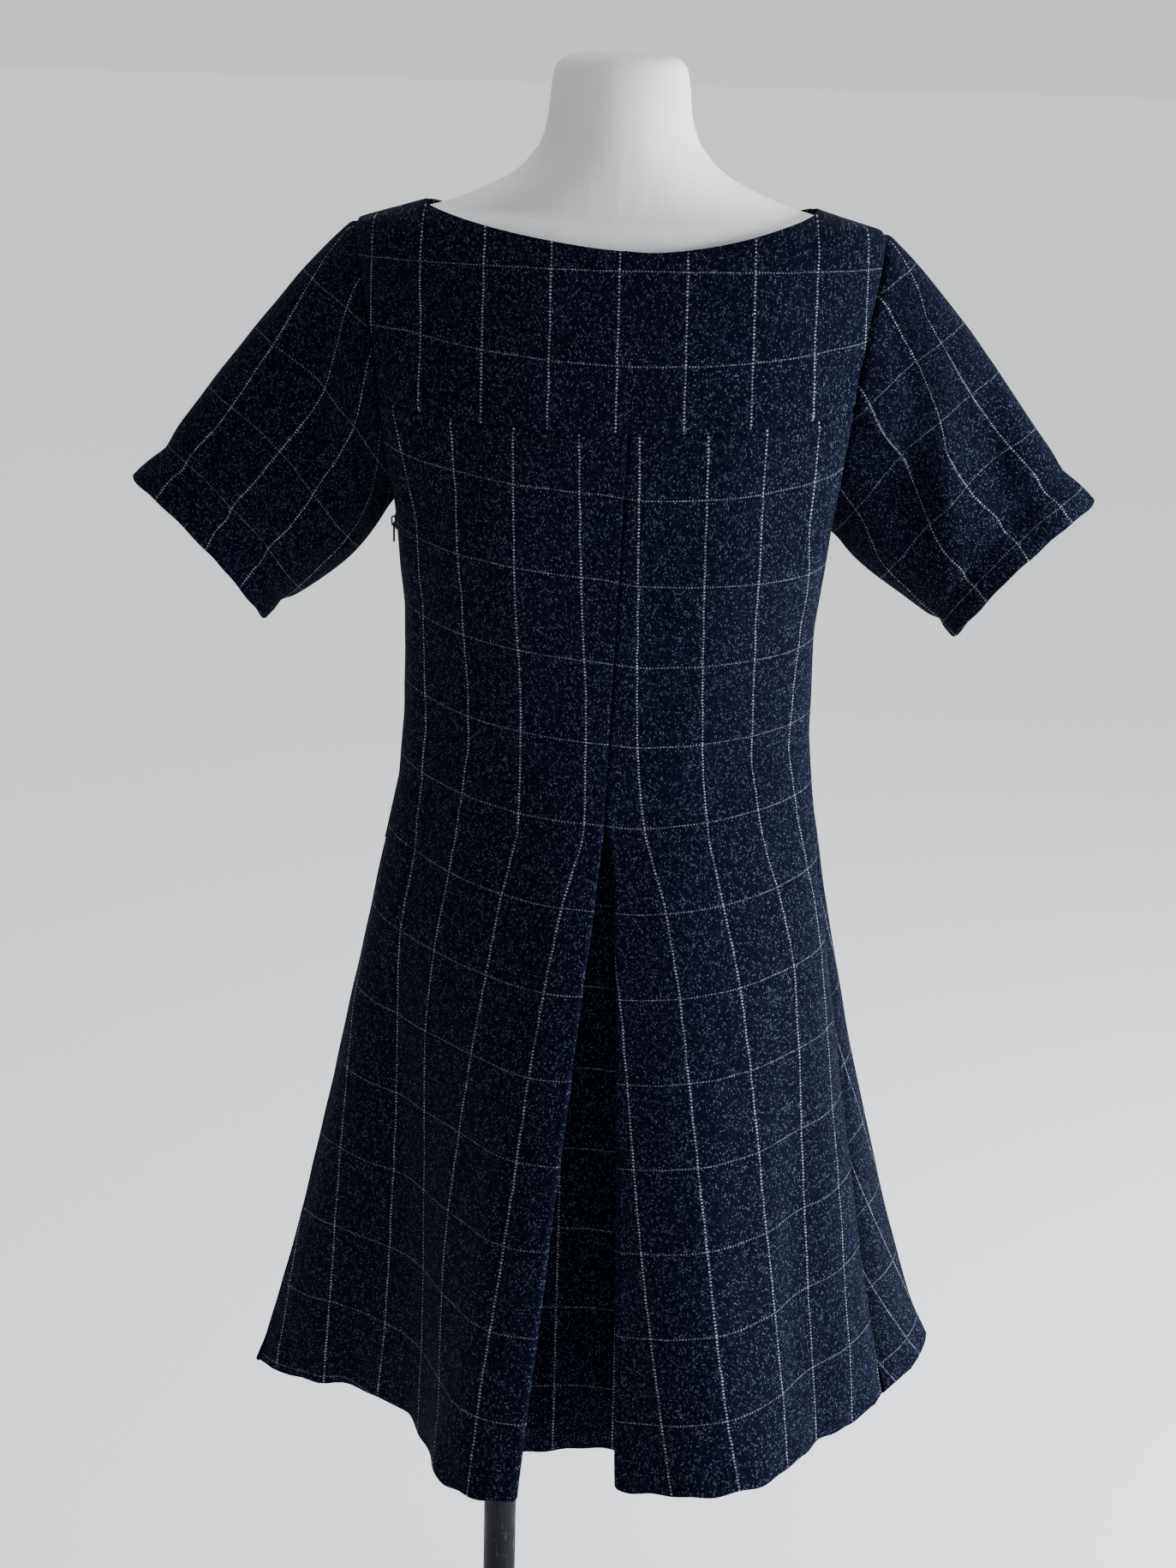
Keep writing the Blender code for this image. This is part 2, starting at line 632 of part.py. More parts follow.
def shell_mesh(name, outside, inside, ring):
    """A closed wall between two grids of points."""
    rows, columns = outside.shape[:2]
    shape = bmesh.new()
    outer = [[shape.verts.new(p) for p in row] for row in outside]
    inner = [[shape.verts.new(p) for p in row] for row in inside]
    last = columns if ring else columns - 1
    for r in range(rows - 1):
        for c in range(last):
            n = (c + 1) % columns
            shape.faces.new((outer[r][c], outer[r + 1][c], outer[r + 1][n], outer[r][n]))
            shape.faces.new((inner[r][c], inner[r][n], inner[r + 1][n], inner[r + 1][c]))
    for c in range(last):
        n = (c + 1) % columns
        shape.faces.new((outer[0][c], outer[0][n], inner[0][n], inner[0][c]))
        shape.faces.new((outer[-1][n], outer[-1][c], inner[-1][c], inner[-1][n]))
    if not ring:
        for r in range(rows - 1):
            shape.faces.new((outer[r][0], inner[r][0], inner[r + 1][0], outer[r + 1][0]))
            shape.faces.new((outer[r][-1], outer[r + 1][-1], inner[r + 1][-1], inner[r][-1]))
    bmesh.ops.recalc_face_normals(shape, faces=shape.faces)
    for face in shape.faces:
        face.smooth = True
    mesh = bpy.data.meshes.new(name)
    shape.to_mesh(mesh)
    shape.free()
    return mesh


def cloth_piece(piece, material):
    """Builds one cut piece: the wall round its middle surface, drawn back at its seams."""
    grid = piece["grid"]
    for edge, distance in piece["seams"].items():
        grid = pulled_in(grid, edge, distance)
    thickness = np.asarray(piece["thickness"])[:, None, None]
    outside = grid + piece["normals"] * WALL / 2
    inside = grid - piece["normals"] * (thickness - WALL / 2)
    mesh = shell_mesh(piece["name"], outside, inside, piece["ring"])
    return add_object(piece["name"], mesh, material)


def hem_thickness(heights):
    """Wall thickness of each row: double where the hem is turned up."""
    return np.where(np.array(heights) < HEM + HEM_DEPTH + 1e-6, HEM_WALL, WALL)


def zip_setbacks(heights):
    """How far the left side edge stands back at each row: half a seam gap, or more beside the zip."""
    beside = (np.array(heights) > ZIP_END - 1e-6) & (np.array(heights) < ZIP_TOP + 1e-6)
    return np.where(beside, ZIP_SETBACK, SEAM_GAP / 2)


def garment_pieces():
    """Every cut piece of the dress, with its grid, its seams and its wall."""
    back, yoke = back_panel_grid(), back_yoke_grid()
    bodice, skirt = front_bodice_grid(), front_skirt_grid()
    half = SEAM_GAP / 2
    back_heights = (*ROWS_OVER_ARMPIT, *ROWS_UNDER_ARMPIT)
    skirt_heights = [height for height in ROWS_UNDER_ARMPIT if height < EMPIRE_SEAM + 1e-6]
    lower = [height for height in ROWS_UNDER_ARMPIT if EMPIRE_SEAM - 1e-6 < height < ARMPIT]
    bodice_heights = [SHOULDER_POINT] * BODICE_ROWS + [ARMPIT, *lower]
    plain = [WALL] * (BODICE_ROWS + len(ROWS_UNDER_ARMPIT))
    pieces = [
        {
            "name": "back_panel",
            "grid": back,
            "thickness": hem_thickness(back_heights),
            "seams": {"top": half, "first": zip_setbacks(back_heights), "last": half},
        },
        {
            "name": "back_yoke",
            "grid": yoke,
            "thickness": plain[: len(yoke)],
            "seams": {"top": half, "bottom": half, "first": half, "last": half},
        },
        {
            "name": "front_bodice",
            "grid": bodice,
            "thickness": plain[: len(bodice)],
            "seams": {"top": half, "bottom": half, "first": half, "last": zip_setbacks(bodice_heights)},
        },
        {
            "name": "front_skirt",
            "grid": skirt,
            "thickness": hem_thickness(skirt_heights),
            "seams": {"top": half, "first": half, "last": zip_setbacks(skirt_heights)},
        },
    ]
    over = len(ROWS_OVER_ARMPIT)
    for side, name, edge in ((1, "left_sleeve", 0), (-1, "right_sleeve", -1)):
        back_edge = back[over::-1, edge]
        yoke_edge = yoke[::-1, edge][1:]
        front_edge = bodice[1:BODICE_ROWS, -1 - edge]
        ring = np.concatenate([back_edge, yoke_edge, front_edge])
        grid = sleeve_grid(ring, side)
        if side > 0:
            grid = grid[:, ::-1]
        thickness = np.where(np.array(SLEEVE_ROWS) > SLEEVE_HEM_STARTS - 1e-6, HEM_WALL, WALL)
        pieces.append({"name": name, "grid": grid, "thickness": thickness, "seams": {"top": half}})
        pieces[-1]["ring"] = True
    for piece in pieces:
        piece.setdefault("ring", False)
        piece["normals"] = normals_of(piece["grid"], piece["ring"])
    share_seam_normals(pieces)
    return pieces


def zip_chain(pieces, material):
    """The closed zip chain, which fills the space that the side edges leave in the left seam."""
    back, skirt, bodice = pieces[0]["grid"], pieces[3]["grid"], pieces[2]["grid"]
    over = len(ROWS_OVER_ARMPIT)
    front = np.concatenate([bodice[BODICE_ROWS:-1], skirt])
    rows = []
    for index, height in enumerate(ROWS_UNDER_ARMPIT):
        if ZIP_END - 1e-6 < height < ZIP_TOP + 1e-6:
            seam, behind, before = back[over + index, 0], back[over + index, 1], front[index, -2]
            to_back = (behind - seam) / np.linalg.norm(behind - seam)
            to_front = (before - seam) / np.linalg.norm(before - seam)
            rows.append([seam + to_front * CHAIN_HALF_WIDTH, seam, seam + to_back * CHAIN_HALF_WIDTH])
    grid = np.array(rows)
    piece = {
        "name": "side_zip",
        "grid": grid,
        "thickness": [WALL] * len(grid),
        "ring": False,
        "seams": {"top": SEAM_GAP, "bottom": SEAM_GAP},
        "normals": normals_of(grid, False),
    }
    return cloth_piece(piece, material)


def slider_frame():
    """Where the slider sits on the zip: a point of the seam, and the seam's lean from upright."""
    heights = (ZIP_TOP, ZIP_TOP - SLIDER_SEAT)
    top, low = tilted(np.array([[section(height, "half_width"), 0.0, height] for height in heights]))
    share = (ZIP_TOP - SLIDER_MIDDLE) / SLIDER_SEAT
    lean = math.atan2(top[0] - low[0], top[2] - low[2])
    return top + (low - top) * share, lean


def prism(name, outline, width):
    """A solid of an outline in the plane of out and up, this wide from front to back."""
    shape = bmesh.new()
    near = [shape.verts.new((x, -width / 2, z)) for x, z in outline]
    shape.faces.new(near)
    grown = bmesh.ops.extrude_face_region(shape, geom=shape.faces[:])
    moved = [item for item in grown["geom"] if isinstance(item, bmesh.types.BMVert)]
    bmesh.ops.translate(shape, verts=moved, vec=(0, width, 0))
    bmesh.ops.recalc_face_normals(shape, faces=shape.faces)
    mesh = bpy.data.meshes.new(name)
    shape.to_mesh(mesh)
    shape.free()
    return mesh


def hidden_tool(name, mesh):
    """A helper that a Boolean joins or cuts with."""
    tool = bpy.data.objects.new(name, mesh)
    tool.hide_render = True
    tool.display_type = "WIRE"
    bpy.data.collections[TOOLS].objects.link(tool)
    return tool


def joined(piece, tool, operation):
    """Adds a Boolean to a piece."""
    modifier = piece.modifiers.new(operation.lower(), "BOOLEAN")
    modifier.operation = operation
    modifier.object = tool


def zip_slider(material):
    """The slider: a flat body with a crown over it that holds the pull tab."""
    seat, lean = slider_frame()
    plate = SLIDER_THICK
    half = SLIDER_HEIGHT / 2
    body = [(0, -half), (plate, -half + 0.0008), (plate, half - 0.0014), (0, half)]
    slider = add_object("zip_slider", prism("zip_slider", body, SLIDER_WIDTH), material)
    low = -CROWN_HOLE_LONG / 2
    outer = CROWN_HOLE_DEEP + CROWN_BAND
    crown = [
        (plate - 0.0006, low - CROWN_BAND),
        (plate + outer - 0.0006, low - CROWN_BAND),
        (plate + outer, low - CROWN_BAND + 0.0006),
        (plate + outer, -low),
        (plate + outer - 0.0008, -low + CROWN_BAND),
        (plate - 0.0006, -low + CROWN_BAND),
    ]
    deep = plate + CROWN_HOLE_DEEP
    hole = [(plate, low), (deep, low), (deep, -low), (plate, -low)]
    arch = hidden_tool("crown_arch", prism("crown_arch", crown, CROWN_WIDTH))
    gap = hidden_tool("crown_gap", prism("crown_gap", hole, 2 * CROWN_WIDTH))
    joined(slider, arch, "UNION")
    joined(slider, gap, "DIFFERENCE")
    out = WALL / 2 + SEAM_GAP
    for piece in (slider, arch, gap):
        piece.rotation_euler = (0, lean, 0)
        piece.location = seat + np.array([out * math.cos(lean), 0, -out * math.sin(lean)])
    return slider


def tab_pivot():
    """The axis of the pull tab's bar, in the lower end of the crown's hole."""
    seat, lean = slider_frame()
    out = WALL / 2 + SEAM_GAP + SLIDER_THICK + CROWN_HOLE_DEEP / 2
    down = -CROWN_HOLE_LONG / 2 + CROWN_HOLE_DEEP / 2
    turn_out = np.array([math.cos(lean), 0, -math.sin(lean)])
    turn_up = np.array([math.sin(lean), 0, math.cos(lean)])
    return seat + out * turn_out + down * turn_up


def zip_pull_tab(material):
    """The pull tab, a flat strip with an eye at its top, which hangs from the crown."""
    bar = TAB_THICK / 2
    half = TAB_WIDTH / 2
    low = bar - TAB_LENGTH + half
    arc = [(half * math.cos(a), low + half * math.sin(a)) for a in np.linspace(0, -math.pi, 9)]
    outer = [(half, bar), *arc, (-half, bar)]
    eye = half - TAB_THICK * 0.75
    hole = [(eye, -bar), (-eye, -bar), (-eye, -bar - TAB_EYE_LENGTH), (eye, -bar - TAB_EYE_LENGTH)]
    outline = bpy.data.curves.new("zip_pull_tab", "CURVE")
    outline.dimensions = "2D"
    outline.fill_mode = "BOTH"
    outline.extrude = TAB_THICK / 2
    for points in (outer, hole):
        run = outline.splines.new("POLY")
        run.points.add(len(points) - 1)
        for point, (x, y) in zip(run.points, points, strict=True):
            point.co = (x, y, 0, 1)
        run.use_cyclic_u = True
    tab = add_object("zip_pull_tab", outline, material)
    tab.rotation_euler = (math.pi / 2, 0, math.pi / 2)
    tab.location = tab_pivot()
    weld = tab.modifiers.new("weld", "WELD")
    weld.merge_threshold = 1e-6
    return tab


def dress_form(material):
    """The limbless torso with its neck, a stack of rounded sections."""
    heights = column(FORM_SECTIONS, BODY_COLUMNS, "height")
    angles = 2 * math.pi * np.arange(FORM_SIDES) / FORM_SIDES
    shape = bmesh.new()
    rings = []
    for height in heights:
        width, back, front, power = (section(height, name, FORM_SECTIONS) for name in BODY_COLUMNS[1:])
        shift = NECK_SHIFT * min(1, max(0, (height - NECK_STARTS) / (NECK_HEIGHT - NECK_STARTS)))
        ring = []
        for angle in angles:
            cosine, sine = math.cos(angle), math.sin(angle)
            depth = back if sine > 0 else front
            across = math.copysign(abs(cosine) ** (2 / power), cosine) * width
            behind = math.copysign(abs(sine) ** (2 / power), sine) * depth
            ring.append(shape.verts.new((across + shift, behind, height)))
        rings.append(ring)
    for low, high in zip(rings, rings[1:]):
        for k in range(FORM_SIDES):
            n = (k + 1) % FORM_SIDES
            shape.faces.new((low[k], low[n], high[n], high[k]))
    shape.faces.new(rings[0][::-1])
    shape.faces.new(rings[-1])
    bmesh.ops.recalc_face_normals(shape, faces=shape.faces)
    for face in shape.faces:
        face.smooth = len(face.verts) == 4
    mesh = bpy.data.meshes.new("dress_form")
    shape.to_mesh(mesh)
    shape.free()
    return add_object("dress_form", mesh, material)


def turned_solid(name, profile, centre, material):
    """A solid of revolution about an upright axis, from a profile that starts and ends on the axis."""
    mesh = bpy.data.meshes.new(name)
    mesh.from_pydata([(r, 0, z) for r, z in profile], [(k, k + 1) for k in range(len(profile) - 1)], [])
    solid = add_object(name, mesh, material)
    solid.location = (*centre, 0)
    screw = solid.modifiers.new("turn", "SCREW")
    screw.axis = "Z"
    screw.steps = STAND_SIDES
    screw.render_steps = STAND_SIDES
    screw.use_merge_vertices = True
    screw.merge_threshold = 1e-5
    screw.use_smooth_shade = False
    return solid


def stand(material):
    """Pole, the flange that holds it under the form, and the round base."""
    underside = FORM_SECTIONS[0][0]
    flange_top = underside - SEAM_GAP
    flange_low = flange_top - FLANGE_THICK - FLANGE_COLLAR
    pole_top = flange_top - FLANGE_THICK / 2
    seat = BASE_THICK + SEAM_GAP
    pole_at = (POLE_ACROSS, 0)
    flange = [
        (0, flange_top),
        (FLANGE_RADIUS, flange_top),
        (FLANGE_RADIUS, flange_top - FLANGE_THICK),
        (COLLAR_RADIUS, flange_top - FLANGE_THICK),
        (COLLAR_RADIUS, flange_low),
        (COLLAR_BORE, flange_low),
        (COLLAR_BORE, pole_top + SEAM_GAP),
        (0, pole_top + SEAM_GAP),
    ]
    pole = [(0, pole_top), (POLE_RADIUS, pole_top), (POLE_RADIUS, seat), (0, seat)]
    foot = [
        (COLLAR_BORE, seat + FOOT_COLLAR),
        (COLLAR_RADIUS, seat + FOOT_COLLAR),
        (COLLAR_RADIUS, seat + 0.008),
        (FLANGE_RADIUS, seat + 0.006),
        (FLANGE_RADIUS, seat),
        (COLLAR_BORE, seat),
        (COLLAR_BORE, seat + FOOT_COLLAR),
    ]
    base = [
        (0, BASE_THICK),
        (BASE_RADIUS - 0.006, BASE_THICK),
        (BASE_RADIUS - 0.0015, BASE_THICK - 0.002),
        (BASE_RADIUS, BASE_THICK - 0.0055),
        (BASE_RADIUS, 0.001),
        (BASE_RADIUS - 0.001, 0),
        (0, 0),
    ]
    turned_solid("stand_flange", flange, pole_at, material)
    turned_solid("stand_pole", pole, pole_at, material)
    turned_solid("stand_foot", foot, pole_at, material)
    turned_solid("stand_base", base, (0, 0), material)


PART = "empire_waist_dress"
TOOLS = "joining_tools"


def main():
    """Clears the scene and builds the part."""
    for old in list(bpy.data.objects):
        bpy.data.objects.remove(old)
    for name in (PART, TOOLS):
        collection = bpy.data.collections.new(name)
        bpy.context.scene.collection.children.link(collection)
    bpy.data.collections[TOOLS].hide_render = True
    wool = {
        "back_panel": (0.014, 0.018, 0.034),
        "back_yoke": (0.016, 0.020, 0.036),
        "front_bodice": (0.016, 0.020, 0.036),
        "front_skirt": (0.014, 0.018, 0.034),
        "left_sleeve": (0.015, 0.019, 0.035),
        "right_sleeve": (0.015, 0.019, 0.035),
    }
    pieces = garment_pieces()
    for piece in pieces:
        cloth_piece(piece, new_material(piece["name"] + "_wool", wool[piece["name"]], 0.9))
    zip_chain(pieces, new_material("zip_tape", (0.012, 0.012, 0.016), 0.7))
    metal = new_material("zip_metal", (0.02, 0.02, 0.022), 0.35, 0.8)
    zip_slider(metal)
    zip_pull_tab(metal)
    dress_form(new_material("form_cover", (0.72, 0.71, 0.69), 0.75))
    stand(new_material("stand_paint", (0.02, 0.02, 0.022), 0.45, 0.2))


main()
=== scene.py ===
"""A short-sleeved tweed dress on a limbless dress form with a pole stand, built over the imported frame.

The front of the dress faces -Y, its back +Y, and the wearer's left is +X. Every cut piece of cloth is a
thin shell with a map of its own cloth in metres, so that the weave and the check follow the fabric.
"""

import logging
import math
from dataclasses import dataclass, field
from enum import Enum
from typing import Any

import bmesh
import bpy
import numpy as np
from mathutils import Matrix, Vector


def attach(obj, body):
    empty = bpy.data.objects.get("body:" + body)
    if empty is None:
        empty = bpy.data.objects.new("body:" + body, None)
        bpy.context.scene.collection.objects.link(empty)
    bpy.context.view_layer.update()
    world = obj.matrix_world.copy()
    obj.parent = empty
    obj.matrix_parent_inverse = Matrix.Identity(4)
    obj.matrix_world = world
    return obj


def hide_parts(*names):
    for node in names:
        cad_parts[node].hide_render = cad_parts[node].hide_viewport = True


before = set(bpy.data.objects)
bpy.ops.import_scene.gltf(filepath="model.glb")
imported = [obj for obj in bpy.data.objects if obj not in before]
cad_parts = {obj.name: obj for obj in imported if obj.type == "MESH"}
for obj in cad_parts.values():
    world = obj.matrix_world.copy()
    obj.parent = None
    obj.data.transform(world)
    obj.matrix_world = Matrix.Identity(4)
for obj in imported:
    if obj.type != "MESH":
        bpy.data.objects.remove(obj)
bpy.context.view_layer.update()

Array = np.ndarray
Table = tuple[tuple[float, ...], ...]
log = logging.getLogger("dress")
BODY = "dress_and_stand"


class Side(Enum):
    """A side of the wearer, with the sign of X there."""

    LEFT = 1
    RIGHT = -1


class Face(Enum):
    """The back or the front of the dress, named as in the tables."""

    BACK = "back"
    FRONT = "front"


class Slot(Enum):
    """The record's material slots that pieces of this scene take."""

    WOOL = "body_wool"
    TAPE = "zip_tape"
    COVER = "form_cover"
    PAINT = "stand_paint"


def smooth(x: Any, xs: Array, ys: Array) -> Array:
    """A curve without overshoot through the points of a table.

    Args:
        x: Where it is read.
        xs: Rising places of the points.
        ys: Values at those places.

    Returns:
        The curve's values at x.
    """
    x = np.clip(np.asarray(x, float), xs[0], xs[-1])
    step = np.diff(xs)
    rise = np.diff(ys) / step
    slope = np.zeros(len(xs))
    same = rise[:-1] * rise[1:] > 0
    slope[1:-1][same] = 2 * (rise[:-1] * rise[1:])[same] / (rise[:-1] + rise[1:])[same]
    slope[0], slope[-1] = rise[0], rise[-1]
    k = np.clip(np.searchsorted(xs, x) - 1, 0, len(step) - 1)
    t = (x - xs[k]) / step[k]
    start = ys[k] * (1 + 2 * t) * (1 - t) ** 2 + slope[k] * step[k] * t * (1 - t) ** 2
    end = ys[k + 1] * t * t * (3 - 2 * t) + slope[k + 1] * step[k] * t * t * (t - 1)
    return start + end


@dataclass(frozen=True)
class Chart:
    """Sizes in named columns, one row for each place, which the first column gives."""

    names: tuple[str, ...]
    rows: Table

    def column(self, name: str) -> Array:
        """The numbers of one column."""
        return np.array([row[self.names.index(name)] for row in self.rows], float)

    def at(self, place: Any, name: str) -> Array:
        """A column's size at a place, on a smooth curve through the rows.

        Args:
            place: Where it is read.
            name: The column.

        Returns:
            The size there, or one for each place.
        """
        places, sizes = self.column(self.names[0]), self.column(name)
        if places[0] > places[-1]:
            places, sizes = places[::-1], sizes[::-1]
        return smooth(place, places, sizes)


def travelled(points: Array) -> Array:
    """How far along a polyline each of its points lies.

    Args:
        points: The polyline's points.

    Returns:
        One length for each point, from 0.
    """
    steps = np.linalg.norm(np.diff(points, axis=0), axis=1)
    return np.concatenate([[0], np.cumsum(steps)])


def walked(grid: Array, axis: int) -> Array:
    """How far over the cloth each point of a grid lies from its first row or column.

    Args:
        grid: Rows of points.
        axis: 0 down the rows, 1 across the columns.

    Returns:
        One length for each point.
    """
    steps = np.linalg.norm(np.diff(grid, axis=axis), axis=2)
    return np.insert(np.cumsum(steps, axis=axis), 0, 0.0, axis=axis)


def read_on(at: Array, places: Array, values: Array) -> Array:
    """Values between known places, which run on at a slope of 1 beyond both ends.

    Args:
        at: Where they are read.
        places: The known places, rising.
        values: The values there.

    Returns:
        One value for each place that is read.
    """
    inside = np.interp(at, places, values)
    return inside + np.clip(at - places[-1], 0, None) - np.clip(places[0] - at, 0, None)


def along(points: Array, shares: Array) -> Array:
    """Points at the given shares of a polyline's length.

    Args:
        points: The polyline's points.
        shares: Shares of its length, from 0 to 1.

    Returns:
        One point for each share.
    """
    lengths = travelled(points)
    wanted = np.asarray(shares) * lengths[-1]
    return np.stack([np.interp(wanted, lengths, values) for values in points.T], axis=1)


def spline(table: Any, steps: int = 12) -> Array:
    """A smooth plan curve through the rows of a table.

    Args:
        table: Points as rows.
        steps: Points of the curve for each row.

    Returns:
        The curve's points.
    """
    points = np.array(table, float)
    knots = travelled(points)
    fine = np.interp(np.arange((len(points) - 1) * steps + 1) / steps, np.arange(len(points)), knots)
    tangents = np.gradient(points, knots, axis=0)
    k = np.clip(np.searchsorted(knots, fine, side="right") - 1, 0, len(points) - 2)
    width = (knots[k + 1] - knots[k])[:, None]
    t = ((fine - knots[k]) / width[:, 0])[:, None]
    near = points[k] * (1 + 2 * t) * (1 - t) ** 2 + tangents[k] * width * t * (1 - t) ** 2
    far = points[k + 1] * t * t * (3 - 2 * t) + tangents[k + 1] * width * t * t * (t - 1)
    return near + far


def turned(direction: Array, angle: float) -> Array:
    """A plan direction turned counterclockwise.

    Args:
        direction: Two numbers.
        angle: In radians.

    Returns:
        The turned direction.
    """
    x, y = direction
    cosine, sine = math.cos(angle), math.sin(angle)
    return np.array([cosine * x - sine * y, sine * x + cosine * y])


def dense_ends(count: int, near: tuple[float, ...]) -> Array:
    """Shares from 0 to 1 with extra lines beside both ends, for the seams.

    Args:
        count: Even steps between the ends.
        near: The extra shares beside an end, rising.

    Returns:
        The rising shares.
    """
    middle = np.linspace(0, 1, count + 1)
    inner = middle[(middle > near[-1]) & (middle < 1 - near[-1])]
    ends = np.array(near)
    return np.concatenate([[0], ends, inner, 1 - ends[::-1], [1]])


def normals_of(grid: Array, ring: bool) -> Array:
    """Outward normals of a grid whose rows run down and columns left to right as seen from outside.

    Args:
        grid: Rows of points.
        ring: Whether the last column is followed by the first.

    Returns:
        One unit normal for each point.
    """
    if ring:
        across = np.roll(grid, -1, axis=1) - np.roll(grid, 1, axis=1)
    else:
        across = np.gradient(grid, axis=1)
    normals = np.cross(np.gradient(grid, axis=0), across)
    return normals / np.maximum(np.linalg.norm(normals, axis=2, keepdims=True), 1e-12)


def linked(name: str, data: bpy.types.ID) -> bpy.types.Object:
    """Puts a mesh, a camera or a lamp into the scene as a new object."""
    thing = bpy.data.objects.new(name, data)
    bpy.context.scene.collection.objects.link(thing)
    return thing


def settled(
    piece: bpy.types.Object, material: bpy.types.Material, node: str = ""
) -> bpy.types.Object:
    """Gives a piece its finish, on the body that carries it.

    Args:
        piece: The piece.
        material: Its finish.
        node: The solid that it stands in for, if any.

    Returns:
        The same piece.
    """
    piece.data.materials.append(material)
    if node:
        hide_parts(node)
    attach(piece, BODY)
    return piece


@dataclass(frozen=True)
class DressShape:
    """The shape that the dress hangs in: plan sections, armholes, hem and pleat, in metres."""

    wall: float = 0.0018
    hem_depth: float = 0.030
    hem: float = 0.440
    pleat_opens: float = 0.918
    waist: float = 0.930
    empire_seam: float = 1.0576
    armpit: float = 1.135
    yoke_seam: float = 1.2135
    shoulder_point: float = 1.342
    neck_point: float = 1.3574
    neck_half_width: float = 0.139
    shoulder_half_width: float = 0.188
    yoke_seam_rise: float = 0.0115
    back_neck_low: float = 1.333
    back_neck_low_across: float = -0.020
    front_neck_low: float = 1.316
    neck_curve: float = 1.65
    flare_straight: float = 0.90
    flare_kick_power: int = 6
    fold_radius_top: float = 0.0015
    fold_radius_hem: float = 0.0050
    fold_clearance: float = 0.00105
    pleat_depth: float = 0.060
    pleat_line_lean: float = 0.0088
    pleat_edge_left: float = 0.0520
    pleat_edge_right: float = 0.0190
    pleat_edge_right_power: float = 0.40
    inner_fold_left: tuple[float, float] = (0.085, 0.163)
    inner_fold_right: tuple[float, float] = (-0.060, 0.163)
    underlay_hollow: float = 0.012
    turn_points: int = 8
    return_points: int = 12
    underlay_points: int = 26
    sections: Chart = Chart(
        ("height", "half_width", "back", "front", "power"),
        (
            (0.930, 0.1565, 0.0860, 0.1080, 2.30),
            (0.960, 0.1535, 0.0855, 0.1065, 2.35),
            (1.000, 0.1515, 0.0870, 0.1065, 2.40),
            (1.050, 0.1515, 0.0920, 0.1090, 2.50),
            (1.090, 0.1545, 0.0970, 0.1140, 2.70),
            (1.135, 0.1590, 0.1030, 0.1200, 2.90),
            (1.145, 0.1602, 0.1040, 0.1195, 2.80),
            (1.155, 0.1619, 0.1050, 0.1190, 2.70),
            (1.170, 0.1662, 0.1062, 0.1180, 2.65),
            (1.190, 0.1715, 0.1070, 0.1155, 2.60),
            (1.2135, 0.1775, 0.1070, 0.1120, 2.50),
            (1.260, 0.1860, 0.1010, 0.1000, 2.40),
            (1.300, 0.1925, 0.0920, 0.0880, 2.30),
            (1.325, 0.1940, 0.0810, 0.0760, 2.30),
            (1.342, 0.1880, 0.0730, 0.0670, 2.30),
            (1.3574, 0.1390, 0.0620, 0.0560, 2.30),
        ),
    )
    armhole: Chart = Chart(
        ("height", "half_width"),
        (
            (1.135, 0.1590),
            (1.145, 0.1600),
            (1.155, 0.1611),
            (1.170, 0.1631),
            (1.190, 0.1654),
            (1.2135, 0.1680),
            (1.260, 0.1742),
            (1.300, 0.1810),
            (1.342, 0.1880),
        ),
    )
    tilt: Chart = Chart(
        ("height", "rise"),
        ((0.440, -0.064), (0.930, 0.0), (1.068, 0.040), (1.135, 0.050), (1.2135, 0.0), (1.4, 0.0)),
    )
    hem_back_left: Table = (
        (0.273, 0.000),
        (0.249, 0.022),
        (0.180, 0.053),
        (0.147, 0.083),
        (0.120, 0.148),
        (0.101, 0.192),
        (0.078, 0.209),
        (0.054, 0.214),
    )
    hem_back_right: Table = (
        (0.233, 0.080),
        (0.202, 0.124),
        (0.177, 0.143),
        (0.150, 0.183),
        (0.115, 0.210),
        (0.070, 0.215),
        (0.021, 0.203),
    )
    hem_front: Table = (
        (-0.233, 0.080),
        (-0.261, 0.038),
        (-0.274, -0.004),
        (-0.252, -0.062),
        (-0.205, -0.098),
        (-0.150, -0.128),
        (-0.095, -0.166),
        (-0.040, -0.172),
        (0.012, -0.158),
        (0.070, -0.172),
        (0.125, -0.162),
        (0.172, -0.124),
        (0.222, -0.096),
        (0.262, -0.050),
        (0.273, 0.000),
    )

    def depth_at(self, across: Any, height: Any, face: Face) -> Array:
        """How far the dress stands behind or before the shoulder line.

        Args:
            across: Places across the body.
            height: Heights above the floor.
            face: Back or front.

        Returns:
            The y of those points.
        """
        power = self.sections.at(height, "power")
        half_width = self.sections.at(height, "half_width")
        left_over = 1 - np.minimum(np.abs(across) / half_width, 1) ** power
        sign = 1 if face is Face.BACK else -1
        return sign * self.sections.at(height, face.value) * left_over ** (1 / power)

    def armhole_width(self, height: Any) -> Array:
        """Half the width between the armholes at a height."""
        return self.armhole.at(height, "half_width")

    def edge_width(self, height: float) -> float:
        """Half the width of a body piece: to the side seam, or to the armhole over the armpit."""
        return self.armhole_width(height) if height > self.armpit else self.sections.at(height, "half_width")

    def tilted(self, points: Array) -> Array:
        """The points with the dress's slight lean, which lowers its hem on the left.

        Args:
            points: Points whose last axis is x, y, z.

        Returns:
            The moved points.
        """
        moved = points.copy()
        moved[..., 2] += self.tilt.at(points[..., 2], "rise") * points[..., 0]
        return moved

    def flare(self, height: float) -> float:
        """How far the skirt has opened from its waist section, 0, to its hem plan, 1."""
        down = (self.waist - height) / (self.waist - self.hem)
        return self.flare_straight * down + (1 - self.flare_straight) * down**self.flare_kick_power

